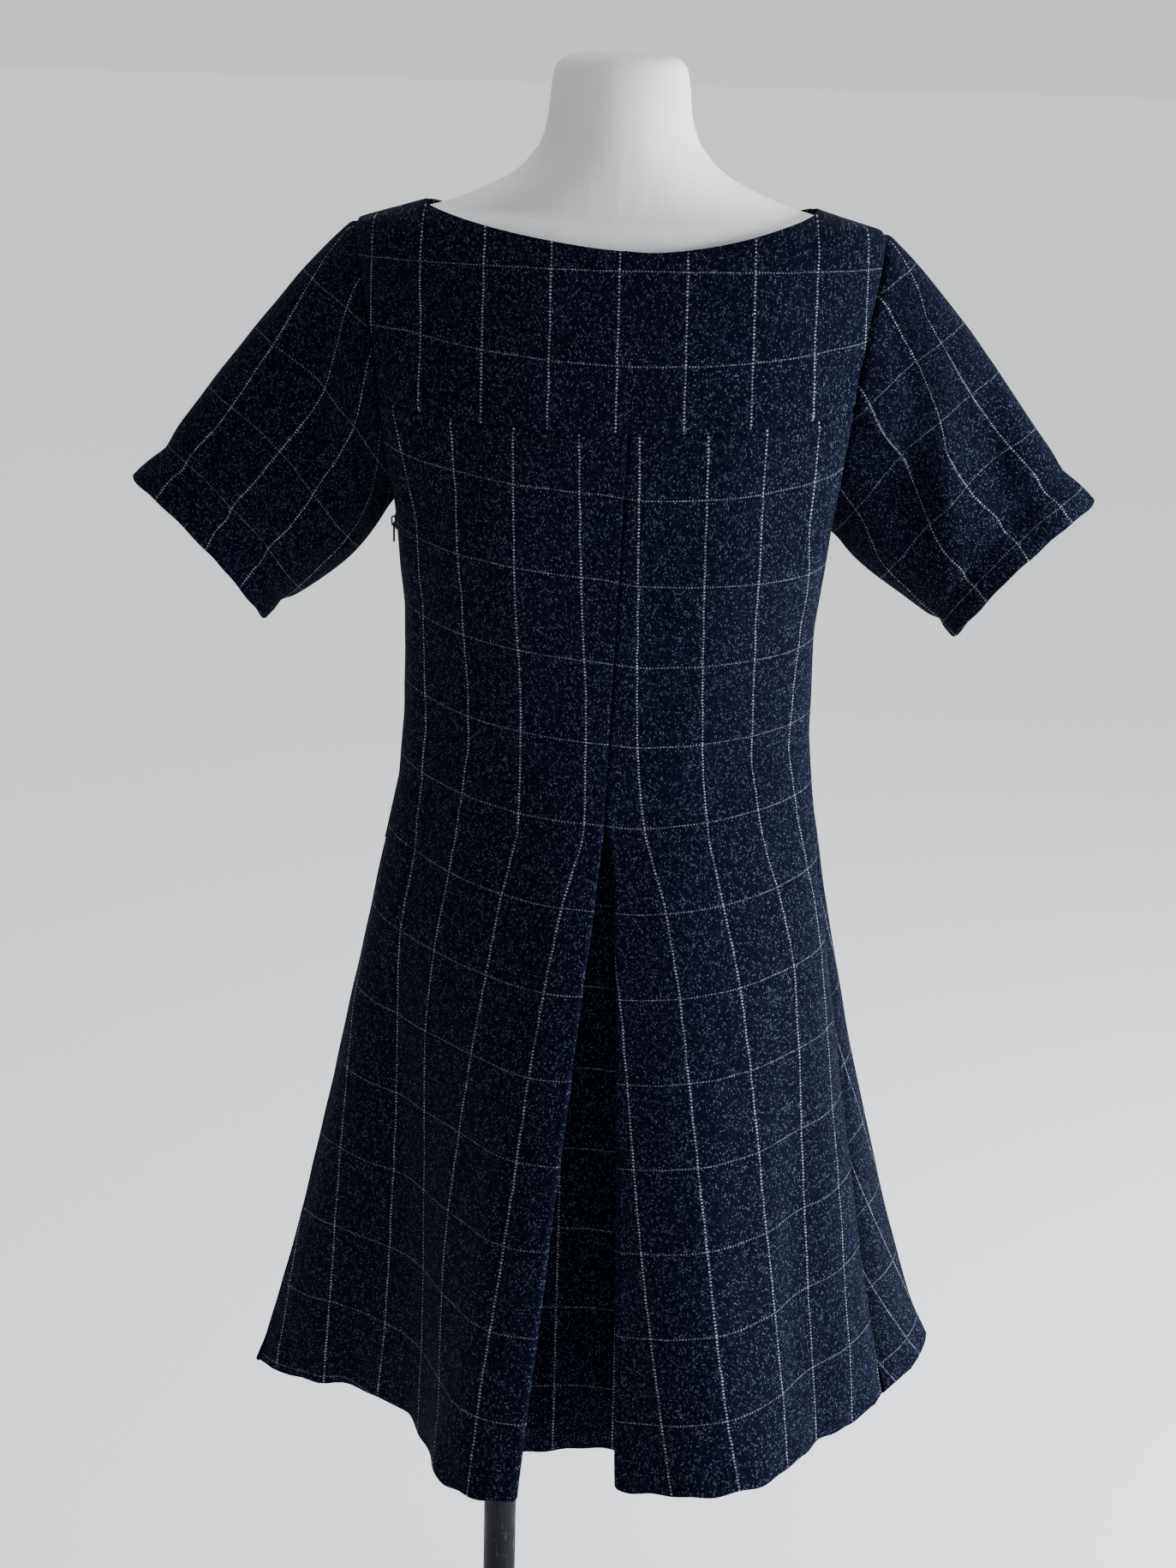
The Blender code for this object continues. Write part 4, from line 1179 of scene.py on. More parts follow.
@dataclass
class CheckLines:
    """Where the pale lines of the check lie on the lower back, read off at heights."""

    left: Chart = Chart(
        ("height", "fold", "fourth", "third", "second", "first", "outer"),
        (
            (1.230, -0.019, 0.0265, 0.0716, 0.1156, 0.1595, 0.2030),
            (1.110, -0.022, 0.0222, 0.0692, 0.1093, 0.1387, 0.1830),
            (0.990, -0.029, 0.0159, 0.0632, 0.1011, 0.1335, 0.1780),
            (0.925, -0.029, 0.0156, 0.0637, 0.1074, 0.1378, 0.1820),
            (0.865, -0.020, 0.0298, 0.0752, 0.1167, 0.1452, 0.1820),
            (0.803, -0.010, 0.0412, 0.0856, 0.1268, 0.1535, 0.1845),
            (0.741, 0.000, 0.0505, 0.0955, 0.1320, 0.1560, 0.1910),
            (0.620, 0.016, 0.0658, 0.1088, 0.1308, 0.1595, 0.2010),
            (0.500, 0.032, 0.0826, 0.1136, 0.1305, 0.1625, 0.2095),
            (0.440, 0.038, 0.0888, 0.1142, 0.1312, 0.1672, 0.2140),
        ),
    )
    right: Chart = Chart(
        ("height", "fold", "first", "second", "third", "fourth"),
        (
            (1.230, 0.029, -0.0155, -0.0630, -0.1037, -0.1409),
            (1.110, 0.027, -0.0179, -0.0648, -0.1034, -0.1400),
            (0.990, 0.023, -0.0212, -0.0684, -0.1049, -0.1335),
            (0.925, 0.016, -0.0278, -0.0740, -0.1133, -0.1418),
            (0.865, 0.000, -0.0447, -0.0875, -0.1302, -0.1562),
            (0.803, -0.0130, -0.0570, -0.1022, -0.1447, -0.1670),
            (0.741, -0.0205, -0.0658, -0.1122, -0.1501, -0.1740),
            (0.620, -0.0340, -0.0826, -0.1286, -0.1604, -0.1872),
            (0.500, -0.0515, -0.1000, -0.1447, -0.1695, -0.1988),
            (0.440, -0.0620, -0.1120, -0.1510, -0.1740, -0.2050),
        ),
    )
    lift: Chart = Chart(
        ("height", "left", "right"),
        (
            (0.440, 0.009, 0.006),
            (0.500, 0.010, 0.006),
            (0.740, 0.016, 0.009),
            (0.925, 0.029, 0.018),
            (1.050, 0.020, 0.014),
            (1.175, 0.011, 0.009),
            (1.240, 0.010, 0.008),
        ),
    )
    lift_reach: float = 0.15
    mismatch: float = 0.0034
    spacing: float = 0.0450
    drop: float = 0.0619
    level: float = 1.1700

    def across(self, height: float, plan: Array, side: Side) -> Array:
        """The fabric's place across each point of a flap.

        Args:
            height: Of the row.
            plan: Plan points of the flap, from its side edge.
            side: Which flap.

        Returns:
            Metres across the fabric, rising to the fold; the check's lines are whole spacings.
        """
        chart = self.left if side is Side.LEFT else self.right
        lines = np.array([chart.at(height, name) for name in chart.names[1:]])
        lengths = travelled(plan)
        out, away = plan[:, 0] * side.value, lines * side.value
        at = np.interp(away, out[::-1], lengths[::-1])
        at += np.clip(out[-1] - away, 0, None) - np.clip(away - out[0], 0, None)
        order = np.argsort(at)
        return read_on(lengths, at[order], -np.arange(len(lines))[order] * self.spacing)

    def down(self, height: float, across: Array) -> Array:
        """The fabric's place down from the yoke seam's line, which is level at the middle.

        Args:
            height: Of the row.
            across: The x of its points.

        Returns:
            Metres down the fabric.
        """
        lift = np.where(across > 0, self.lift.at(height, "left"), self.lift.at(height, "right"))
        far = np.minimum(np.abs(across) / self.lift_reach, 1.35) ** 2
        swing = self.mismatch * np.tanh((across + 0.004) / 0.012) / 2
        return self.level - height + lift * far + swing


@dataclass
class Dress:
    """The six cut pieces of the dress, sewn together and hung."""

    shape: DressShape = field(default_factory=DressShape)
    lines: CheckLines = field(default_factory=CheckLines)
    flap_shares: Array = field(default_factory=lambda: dense_ends(56, (0.006, 0.013, 0.024, 0.042)))
    front_shares: Array = field(default_factory=lambda: dense_ends(100, (0.003, 0.0065, 0.012, 0.021)))
    seam_steps: tuple[float, ...] = (0.0, 0.0009, 0.0020, 0.0036, 0.0060, 0.0090)
    pleat_spacings: int = 6
    underlay_spacings: int = 2
    underlay_line: float = 0.0270
    yoke_pitch: float = 0.0468
    yoke_line: float = 0.0010
    yoke_level: float = 1.2597
    yoke_rise: float = 0.0115
    yoke_levels_off: tuple[float, float] = (1.283, 1.325)
    near_seam: tuple[float, ...] = (0.008, 0.017, 0.030, 0.050)
    yoke_edge: tuple[float, ...] = (1, 0.9955, 0.990, 0.981, 0.965, 0.944)

    def heights_down(self, top: float, bottom: float, step: float = 0.0065) -> list[float]:
        """Row heights from a seam down to another edge, with extra rows beside both.

        Args:
            top: The upper edge.
            bottom: The lower edge.
            step: Height between plain rows.

        Returns:
            Falling heights.
        """
        near = [top - s for s in self.seam_steps]
        far = [bottom + s for s in self.seam_steps[::-1]]
        count = max(2, round((near[-1] - far[0]) / step))
        return near + list(np.linspace(near[-1], far[0], count + 1)[1:-1]) + far

    def back_heights(self) -> list[float]:
        """Row heights of the back panel, with one row on the armpit."""
        return self.heights_down(self.shape.yoke_seam, self.shape.armpit)[: -len(self.seam_steps) + 1] + (
            self.heights_down(self.shape.armpit, self.shape.hem)[1:]
        )

    def hem_count(self, heights: list[float]) -> int:
        """Rows that the turned-up hem covers."""
        limit = self.shape.hem + self.shape.hem_depth
        return sum(1 for height in heights if height < limit)

    def pleat_map(self, inside: Array, left: Array, right: Array, start: float, end: float) -> Array:
        """The fabric's place across the folded layers of the pleat, with its lines set on the underlay.

        Args:
            inside: Plan points between the flaps.
            left: Plan point of the left flap's edge.
            right: Plan point of the right flap's edge.
            start: Place of the fabric at the left flap's edge.
            end: Place at the right flap's edge.

        Returns:
            Metres across the fabric.
        """
        path = travelled(np.concatenate([[left], inside, [right]]))
        turns = 2 * self.shape.turn_points + self.shape.return_points + 1
        near, far = turns, len(inside) - 1 - turns
        whole = self.underlay_spacings * self.lines.spacing
        on_line = whole + (self.underlay_line - inside[[near, far], 0])
        knots = [path[0], path[near + 1], path[far + 1], path[-1]]
        return np.interp(path, knots, [start, *on_line, end])[1:-1]

    def back_panel(self) -> ClothPiece:
        """The lower back in one piece: left flap, box pleat, right flap."""
        shape = self.shape
        rows, maps = [], []
        heights = self.back_heights()
        for height in heights:
            left = shape.flap_row(height, self.flap_shares, Side.LEFT)
            right = shape.flap_row(height, self.flap_shares, Side.RIGHT)
            inside = shape.pleat_row(height, left, right)
            plan = np.concatenate([left, inside, right[::-1]])
            first = self.lines.across(height, left, Side.LEFT)
            last = self.pleat_spacings * self.lines.spacing - self.lines.across(height, right, Side.RIGHT)[::-1]
            folds = self.pleat_map(inside, left[-1], right[-1], first[-1], last[0])
            across = np.concatenate([first, folds, last])
            rows.append(shape.at_height(plan, height))
            maps.append(np.stack([across, self.lines.down(height, plan[:, 0])], axis=1))
        return ClothPiece(
            name="back_panel_cloth",
            grid=shape.tilted(np.array(rows)),
            fabric=np.array(maps),
            seams=("top", "first", "last"),
            hem_rows=self.hem_count(heights),
            flat=(0.86, 0.81),
            area=0.66,
            creases=[
                Crease((0.150, 1.120), (0.098, 1.190), 0.0030, 0.016),
                Crease((0.152, 1.070), (0.075, 1.105), 0.0022, 0.013),
                Crease((-0.150, 1.118), (-0.105, 1.188), 0.0026, 0.016),
                Crease((-0.150, 1.060), (-0.080, 1.090), 0.0020, 0.014),
                Crease((0.150, 0.985), (0.045, 0.962), 0.0020, 0.012),
                Crease((0.153, 0.940), (0.060, 0.930), 0.0018, 0.010),
                Crease((-0.150, 0.975), (-0.050, 0.955), 0.0020, 0.012),
                Crease((-0.172, 0.860), (-0.112, 0.905), 0.0022, 0.013),
                Crease((0.172, 0.850), (0.118, 0.900), 0.0024, 0.014),
                Crease((0.160, 0.800), (0.146, 0.500), 0.0060, 0.016),
                Crease((0.118, 0.700), (0.112, 0.480), -0.0030, 0.014),
                Crease((-0.150, 0.700), (-0.158, 0.470), 0.0035, 0.013),
                Crease((-0.100, 0.760), (-0.120, 0.500), 0.0026, 0.018),
                Crease((0.030, 0.870), (0.050, 0.720), -0.0012, 0.010),
            ],
        )

    def back_yoke(self) -> ClothPiece:
        """The back yoke, from the neckline and shoulder seams down to the yoke seam."""
        shape = self.shape
        fractions = self.yoke_fractions()
        width = shape.armhole_width(shape.yoke_seam)
        across = fractions * width
        plan = np.stack([across, shape.depth_at(across, shape.yoke_seam, Face.BACK)], axis=1)
        seam = shape.at_height(plan, shape.yoke_seam)
        shares = dense_ends(34, self.near_seam)
        grid = shape.tilted(shape.rising_columns(seam, fractions, Face.BACK, shares))
        u = self.curved_width(grid[..., 0], self.yoke_level, Face.BACK, self.yoke_line)
        u *= self.lines.spacing / self.yoke_pitch
        far = np.minimum(np.abs(grid[..., 0] + 0.02) / 0.14, 1.2) ** 2
        low, high = self.yoke_levels_off
        levels_off = 1 - np.clip((grid[..., 2] - low) / (high - low), 0, 1)
        v = self.yoke_level - grid[..., 2] + self.yoke_rise * far * levels_off
        return ClothPiece(
            name="back_yoke_cloth",
            grid=grid,
            fabric=np.stack([-u, v], axis=-1),
            seams=("bottom", "first", "last"),
            flat=(0.43, 0.19),
            area=0.062,
            creases=[
                Crease((0.165, 1.235), (0.120, 1.300), 0.0022, 0.014),
                Crease((-0.168, 1.235), (-0.125, 1.305), 0.0022, 0.014),
                Crease((0.060, 1.300), (-0.040, 1.288), 0.0010, 0.016),
            ],
        )

    def yoke_fractions(self) -> Array:
        """Columns of the yoke from left to right, with one on each neck point."""
        neck = self.shape.neck_half_width / self.shape.shoulder_half_width
        half = np.concatenate([self.yoke_edge, np.linspace(0.92, neck, 11), np.linspace(neck, 0, 36)[1:]])
        return np.concatenate([half, -half[-2::-1]])

    def curved_width(self, across: Array, height: float, face: Face, start: float) -> Array:
        """Length over the cloth from a place across it, at one height.

        Args:
            across: The x of points.
            height: The height whose section is followed.
            face: Back or front.
            start: The x where the length is 0.

        Returns:
            Signed lengths, rising with x.
        """
        edge = self.shape.sections.at(height, "half_width")
        xs = np.linspace(-edge, edge, 801)
        plan = np.stack([xs, self.shape.depth_at(xs, height, face)], axis=1)
        lengths = travelled(plan)
        lengths -= np.interp(start, xs, lengths)
        inside = np.interp(across, xs, lengths)
        return inside + np.clip(np.abs(across) - edge, 0, None) * np.sign(across)

    def front_map(self, grid: Array) -> Array:
        """The fabric's map of a front piece, with its straight grain down the middle.

        Args:
            grid: The piece's points.

        Returns:
            Metres across and down the fabric.
        """
        across = walked(grid, 1)
        middle = np.array([np.interp(0, row[:, 0], run) for row, run in zip(grid, across, strict=True)])
        centre = grid[:, grid.shape[1] // 2]
        far = np.minimum(np.abs(grid[..., 0]) / 0.15, 1.4) ** 2
        v = self.shape.waist - centre[0, 2] + travelled(centre)[:, None] + 0.012 * far
        return np.stack([across - middle[:, None] + self.lines.spacing / 2, v], axis=-1)

    def front_at(self, height: float, shares: Array) -> Array:
        """Points of the front at one height, before the dress's lean."""
        return np.column_stack([self.shape.front_row(height, shares), np.full(len(shares), height)])

    def front_bodice(self) -> ClothPiece:
        """The front from the shoulders and neckline to the empire seam."""
        shape = self.shape
        fractions = -self.yoke_fractions()
        across = (fractions + 1) / 2
        shares = dense_ends(40, self.near_seam)
        upper = shape.rising_columns(self.front_at(shape.armpit, across), fractions, Face.FRONT, shares)
        heights = self.heights_down(shape.armpit, shape.empire_seam)[1:]
        lower = [self.front_at(height, across) for height in heights]
        grid = shape.tilted(np.concatenate([upper, lower]))
        return ClothPiece(
            name="front_bodice_cloth",
            grid=grid,
            fabric=self.front_map(grid),
            seams=("bottom", "first", "last"),
            flat=(0.47, 0.36),
            area=0.135,
            creases=[
                Crease((0.158, 1.150), (0.095, 1.110), 0.0030, 0.014),
                Crease((-0.158, 1.150), (-0.095, 1.110), 0.0026, 0.014),
                Crease((0.110, 1.300), (0.070, 1.220), 0.0018, 0.016),
                Crease((-0.110, 1.300), (-0.070, 1.225), 0.0018, 0.016),
                Crease((0.060, 1.285), (-0.060, 1.290), 0.0014, 0.016),
            ],
        )

    def front_skirt(self) -> ClothPiece:
        """The front from the empire seam to the hem."""
        shape = self.shape
        heights = self.heights_down(shape.empire_seam, shape.hem)
        grid = shape.tilted(np.array([self.front_at(height, self.front_shares) for height in heights]))
        return ClothPiece(
            name="front_skirt_cloth",
            grid=grid,
            fabric=self.front_map(grid),
            seams=("top", "first", "last"),
            hem_rows=self.hem_count(heights),
            flat=(0.78, 0.67),
            area=0.37,
            creases=[
                Crease((0.148, 0.985), (0.060, 0.955), 0.0022, 0.013),
                Crease((-0.148, 0.980), (-0.055, 0.950), 0.0022, 0.013),
                Crease((0.030, 0.800), (0.020, 0.520), 0.0035, 0.022),
                Crease((-0.130, 0.760), (-0.150, 0.500), 0.0035, 0.022),
                Crease((0.150, 0.760), (0.180, 0.520), 0.0030, 0.020),
            ],
        )


@dataclass(frozen=True)
class SleeveCut:
    """What differs between the sleeves: how far the underside hangs, the folds and the lines of the check."""

    side: Side
    name: str
    sag: float
    cross: tuple[float, ...]
    folds: tuple[Crease, ...]
    lines: Chart


LEFT_SLEEVE = SleeveCut(
    side=Side.LEFT,
    name="left_sleeve_cloth",
    sag=0.0085,
    cross=(0.050, 0.1045, 0.160, 0.2140),
    folds=(
        Crease((0.221, 1.275), (0.214, 1.140), 0.0080, 0.017),
        Crease((0.258, 1.223), (0.291, 1.123), -0.0036, 0.020),
        Crease((0.235, 1.170), (0.262, 1.085), 0.0036, 0.013),
    ),
    lines=Chart(
        ("down", "first", "second", "third", "fourth"),
        (
            (0.00, 0.0130, 0.0560, 0.1050, 0.1600),
            (0.08, 0.0210, 0.0690, 0.1280, 0.1850),
            (0.17, 0.0285, 0.0860, 0.1440, 0.1980),
            (0.27, 0.0335, 0.0955, 0.1460, 0.2000),
            (0.38, 0.0366, 0.0945, 0.1430, 0.1960),
            (0.62, 0.0382, 0.0885, 0.1320, 0.1810),
            (0.87, 0.0325, 0.0810, 0.1225, 0.1710),
            (1.00, 0.0379, 0.0895, 0.1280, 0.1720),
        ),
    ),
)

RIGHT_SLEEVE = SleeveCut(
    side=Side.RIGHT,
    name="right_sleeve_cloth",
    sag=0.0030,
    cross=(0.084, 0.1280, 0.178, 0.2360),
    folds=(
        Crease((-0.224, 1.265), (-0.247, 1.118), -0.0050, 0.013),
        Crease((-0.258, 1.250), (-0.291, 1.135), 0.0060, 0.015),
        Crease((-0.203, 1.218), (-0.226, 1.100), 0.0070, 0.013),
    ),
    lines=Chart(
        ("down", "first", "second", "third", "fourth"),
        (
            (0.00, 0.0130, 0.0590, 0.1230, 0.2050),
            (0.13, 0.0305, 0.0665, 0.1300, 0.2010),
            (0.21, 0.0430, 0.0690, 0.1320, 0.1980),
            (0.37, 0.0450, 0.0800, 0.1300, 0.2000),
            (0.47, 0.0430, 0.0900, 0.1300, 0.1950),
            (0.64, 0.0384, 0.0846, 0.1280, 0.1830),
            (0.87, 0.0325, 0.0735, 0.1180, 0.1680),
            (1.00, 0.0370, 0.0790, 0.1220, 0.1650),
        ),
    ),
)


@dataclass
class Sleeve:
    """A set-in short sleeve with a turned hem."""

    cut: SleeveCut
    armhole: Array
    cuff_top: tuple[float, float] = (0.349, 1.1515)
    cuff_under: tuple[float, float] = (0.258, 1.0530)
    cuff_half_depth: float = 0.037
    cuff_back_rise: float = 0.013
    barrel: float = 0.0070
    barrel_skew: float = 0.60
    sag_skew: float = 0.85
    hem_starts: float = 0.87
    underarm_lift: float = 0.0048
    underarm_reach: float = 0.06
    hem_nip: float = 0.0020
    hem_flare: float = 0.0030
    # Each hollow: place round the sleeve, depth, width, and where down the sleeve it starts and ends.
    hollows: Table = (
        (0.34, 0.0100, 0.085, 0.00, 1.00),
        (0.17, 0.0060, 0.050, -0.05, 0.60),
        (0.66, 0.0070, 0.080, 0.00, 0.90),
    )
    spacing: float = 0.0450
    drop: float = 0.0619
    end_gap: float = 0.055

    def share_around(self) -> Array:
        """How far round the armhole each point lies: 0 at the armpit, 0.5 at the shoulder."""
        length = np.linalg.norm(np.diff(np.concatenate([self.armhole, self.armhole[:1]]), axis=0), axis=1)
        top = int(np.argmax(self.armhole[:, 2]))
        run = np.concatenate([[0], np.cumsum(length)[:-1]])
        up_back = run / run[top] / 2
        down_front = 0.5 + (run - run[top]) / (length.sum() - run[top]) / 2
        return np.where(np.arange(len(self.armhole)) <= top, up_back, down_front)

    def rows(self) -> Array:
        """Shares down the sleeve, dense at the armhole seam and at the hem."""
        start = np.array([0.0, 0.005, 0.011, 0.020, 0.033])
        return np.concatenate([start, np.linspace(0.05, 0.965, 40), [0.978, 0.990, 1.0]])

    def row(self, t: float, around: Array) -> Array:
        """One ring of points round the sleeve.

        Args:
            t: 0 at the armhole to 1 at the cuff.
            around: Shares round it.

        Returns:
            Points.
        """
        sign = self.cut.side.value
        upper, under = np.array(self.cuff_top), np.array(self.cuff_under)
        middle, reach = (upper + under) / 2, (upper - under) / 2
        up, out = -np.cos(2 * math.pi * around), np.sin(2 * math.pi * around)
        across, rise = middle[0] + reach[0] * up, middle[1] + reach[1] * up
        cuff = np.column_stack([sign * across, self.cuff_half_depth * out, rise])
        unit = reach / np.linalg.norm(reach)
        radial = np.column_stack([sign * unit[0] * up, out, unit[1] * up])
        up_sleeve = np.array([-sign * unit[1], 0, unit[0]])
        crown = self.barrel * math.sin(math.pi * t**self.barrel_skew) ** 1.3
        sag = self.cut.sag * math.sin(math.pi * t**self.sag_skew) ** 1.3
        barrel = (crown * (1 + up) + sag * (1 - up)) / 2
        nip = self.hem_nip * math.exp(-(((t - self.hem_starts) / 0.045) ** 2))
        swell = self.hem_flare * max(0.0, (t - self.hem_starts) / (1 - self.hem_starts))
        folds = np.zeros(len(around))
        for place, inward, width, starts, ends in self.hollows:
            run = max(0.0, min(1.0, (t - starts) / (ends - starts)))
            folds += inward * math.sin(math.pi * run) ** 1.5 * np.exp(-(((around - place) / width) ** 2))
        outward = (barrel + swell - nip) * (t > 0) - folds
        points = self.armhole * (1 - t) + cuff * t + radial * outward[:, None]
        back_rise = self.cuff_back_rise * np.maximum(out, 0) ** 1.5
        points += up_sleeve * back_rise[:, None] * min(1, t / self.hem_starts) ** 2
        lift = self.underarm_lift * t / self.underarm_reach * math.exp(1 - t / self.underarm_reach)
        points[:, 2] += lift * np.maximum(-up, 0)
        return points

    def fabric(self, grid: Array, shares: Array) -> Array:
        """The fabric's map of the sleeve, its straight grain down from the shoulder.

        Args:
            grid: Rings of points that start at the armpit.
            shares: How far down the sleeve each ring lies.

        Returns:
            Metres across and down the fabric.
        """
        top = int(np.argmax(self.armhole[:, 2]))
        run = walked(grid, 1)
        arc = run[:, top : top + 1] - run
        u = np.zeros(arc.shape)
        for k, t in enumerate(shares):
            lines = [self.cut.lines.at(t, name) for name in self.cut.lines.names[1:]]
            places = np.array([lines[0] - self.spacing, *lines])
            u[k] = read_on(arc[k], places, np.arange(len(places)) * self.spacing)
        down = walked(grid, 0)
        left = down[-1, top] - (down[-1] - down)
        cross = self.cut.cross
        places = np.array([cross[0] - self.end_gap, *cross, cross[-1] + self.end_gap])
        v = read_on(left, places, (np.arange(len(places)) - 1) * self.drop)
        return np.stack([u, v], axis=-1)

    def piece(self) -> ClothPiece:
        """The sleeve as a piece of cloth."""
        shares = self.rows()
        around = self.share_around()
        grid = np.array([self.row(float(t), around) for t in shares])
        fabric = self.fabric(grid, shares)
        if self.cut.side is Side.LEFT:
            grid, fabric = grid[:, ::-1], fabric[:, ::-1]
        sign = self.cut.side.value
        return ClothPiece(
            name=self.cut.name,
            grid=grid,
            fabric=fabric,
            ring=True,
            seams=("top",),
            hem_rows=6,
            flat=(0.50, 0.30),
            area=0.105,
            hem_wave=0.0006,
            hem_rise=0.00044,
            creases=[
                Crease((sign * 0.190, 1.300), (sign * 0.215, 1.215), 0.0030, 0.012),
                Crease((sign * 0.178, 1.215), (sign * 0.250, 1.165), 0.0026, 0.013),
                *self.cut.folds,
            ],
        )


@dataclass
class SideZip:
    """The closed zip in the left side seam: two tapes and the coil between them."""

    shape: DressShape
    top: float = 1.1265
    bottom: float = 0.8805
    half_width: float = 0.0039
    tooth_pitch: float = 0.0015
    tooth: tuple[float, float, float] = (0.0010, 0.0036, 0.0009)
    tooth_bevel: float = 0.00022
    tooth_turn: float = 0.18
    tooth_shift: float = 0.00035
    tape_rows: int = 60
    tape_wall: float = 0.0006
    tape_profile: Table = ((-1, 0.0017), (-0.45, 0.0012), (0.45, 0.0012), (1, 0.0017))

    def seam(self, height: float) -> tuple[Array, float]:
        """A point of the side seam and the seam's lean from upright.

        Args:
            height: Above the floor, before the dress's lean.

        Returns:
            The point and the angle.
        """
        upper, lower = self.shape.tilted(np.array([self.edge(height), self.edge(height - 0.004)]))
        return upper, math.atan2(upper[0] - lower[0], upper[2] - lower[2])

    def edge(self, height: float) -> Array:
        """The seam's point at a height, before the dress's lean."""
        if height >= self.shape.waist:
            return np.array([float(self.shape.sections.at(height, "half_width")), 0.0, height])
        plan = self.shape.front_row(height, np.array([0.0, 0.5, 1.0]))[-1]
        return np.array([*plan, height])

    def tapes(self) -> bpy.types.Object:
        """The strip of tape that the seam's edges are sewn to."""
        rows = []
        for level in np.linspace(self.top, self.bottom, self.tape_rows):
            point, lean = self.seam(float(level))
            out = np.array([math.cos(lean), 0, -math.sin(lean)])
            for across, inward in self.tape_profile:
                rows.append(point - out * inward + np.array([0, across * self.half_width, 0]))
        wide = len(self.tape_profile)
        corners = [k for k in range(len(rows) - wide) if k % wide < wide - 1]
        faces = [(k, k + wide, k + wide + 1, k + 1) for k in corners]
        mesh = bpy.data.meshes.new("zip_tapes")
        mesh.from_pydata(rows, [], faces)
        tapes = linked("zip_tapes", mesh)
        wall = tapes.modifiers.new("wall", "SOLIDIFY")
        wall.thickness = self.tape_wall
        wall.offset = 0.0
        return tapes

    def coil(self) -> bpy.types.Object:
        """The row of closed teeth, one tooth modelled and copied down the seam."""
        bpy.ops.object.select_all(action="DESELECT")
        bpy.ops.mesh.primitive_cube_add(size=1.0)
        tooth = bpy.context.object
        tooth.name = "zip_coil"
        bpy.ops.object.mode_set(mode="EDIT")
        bpy.ops.transform.resize(value=self.tooth)
        bpy.ops.mesh.bevel(offset=self.tooth_bevel, segments=1, affect="EDGES")
        bpy.ops.object.mode_set(mode="OBJECT")
        model = np.array([vertex.co for vertex in tooth.data.vertices])
        faces = [list(face.vertices) for face in tooth.data.polygons]
        points, polygons = [], []
        count = int((self.top - self.bottom) / self.tooth_pitch)
        for k in range(count):
            point, lean = self.seam(self.top - (k + 0.5) * self.tooth_pitch)
            turn = Matrix.Rotation(lean, 3, "Y") @ Matrix.Rotation(self.tooth_turn * (-1) ** k, 3, "X")
            aside = np.array([0, self.tooth_shift * (-1) ** k, 0])
            moved = model @ np.array(turn).T + point + aside
            start = len(points)
            points.extend(moved.tolist())
            polygons.extend([[start + index for index in face] for face in faces])
        mesh = bpy.data.meshes.new("zip_coil")
        mesh.from_pydata(points, [], polygons)
        old = tooth.data
        tooth.data = mesh
        bpy.data.meshes.remove(old)
        return tooth

    def build(self, material: bpy.types.Material) -> list[bpy.types.Object]:
        """Makes the tapes and the coil in place of the plain strip.

        Args:
            material: Their finish.

        Returns:
            Both pieces.
        """
        pieces = [self.tapes(), self.coil()]
        for piece in pieces:
            settled(piece, material, "side_zip")
        return pieces


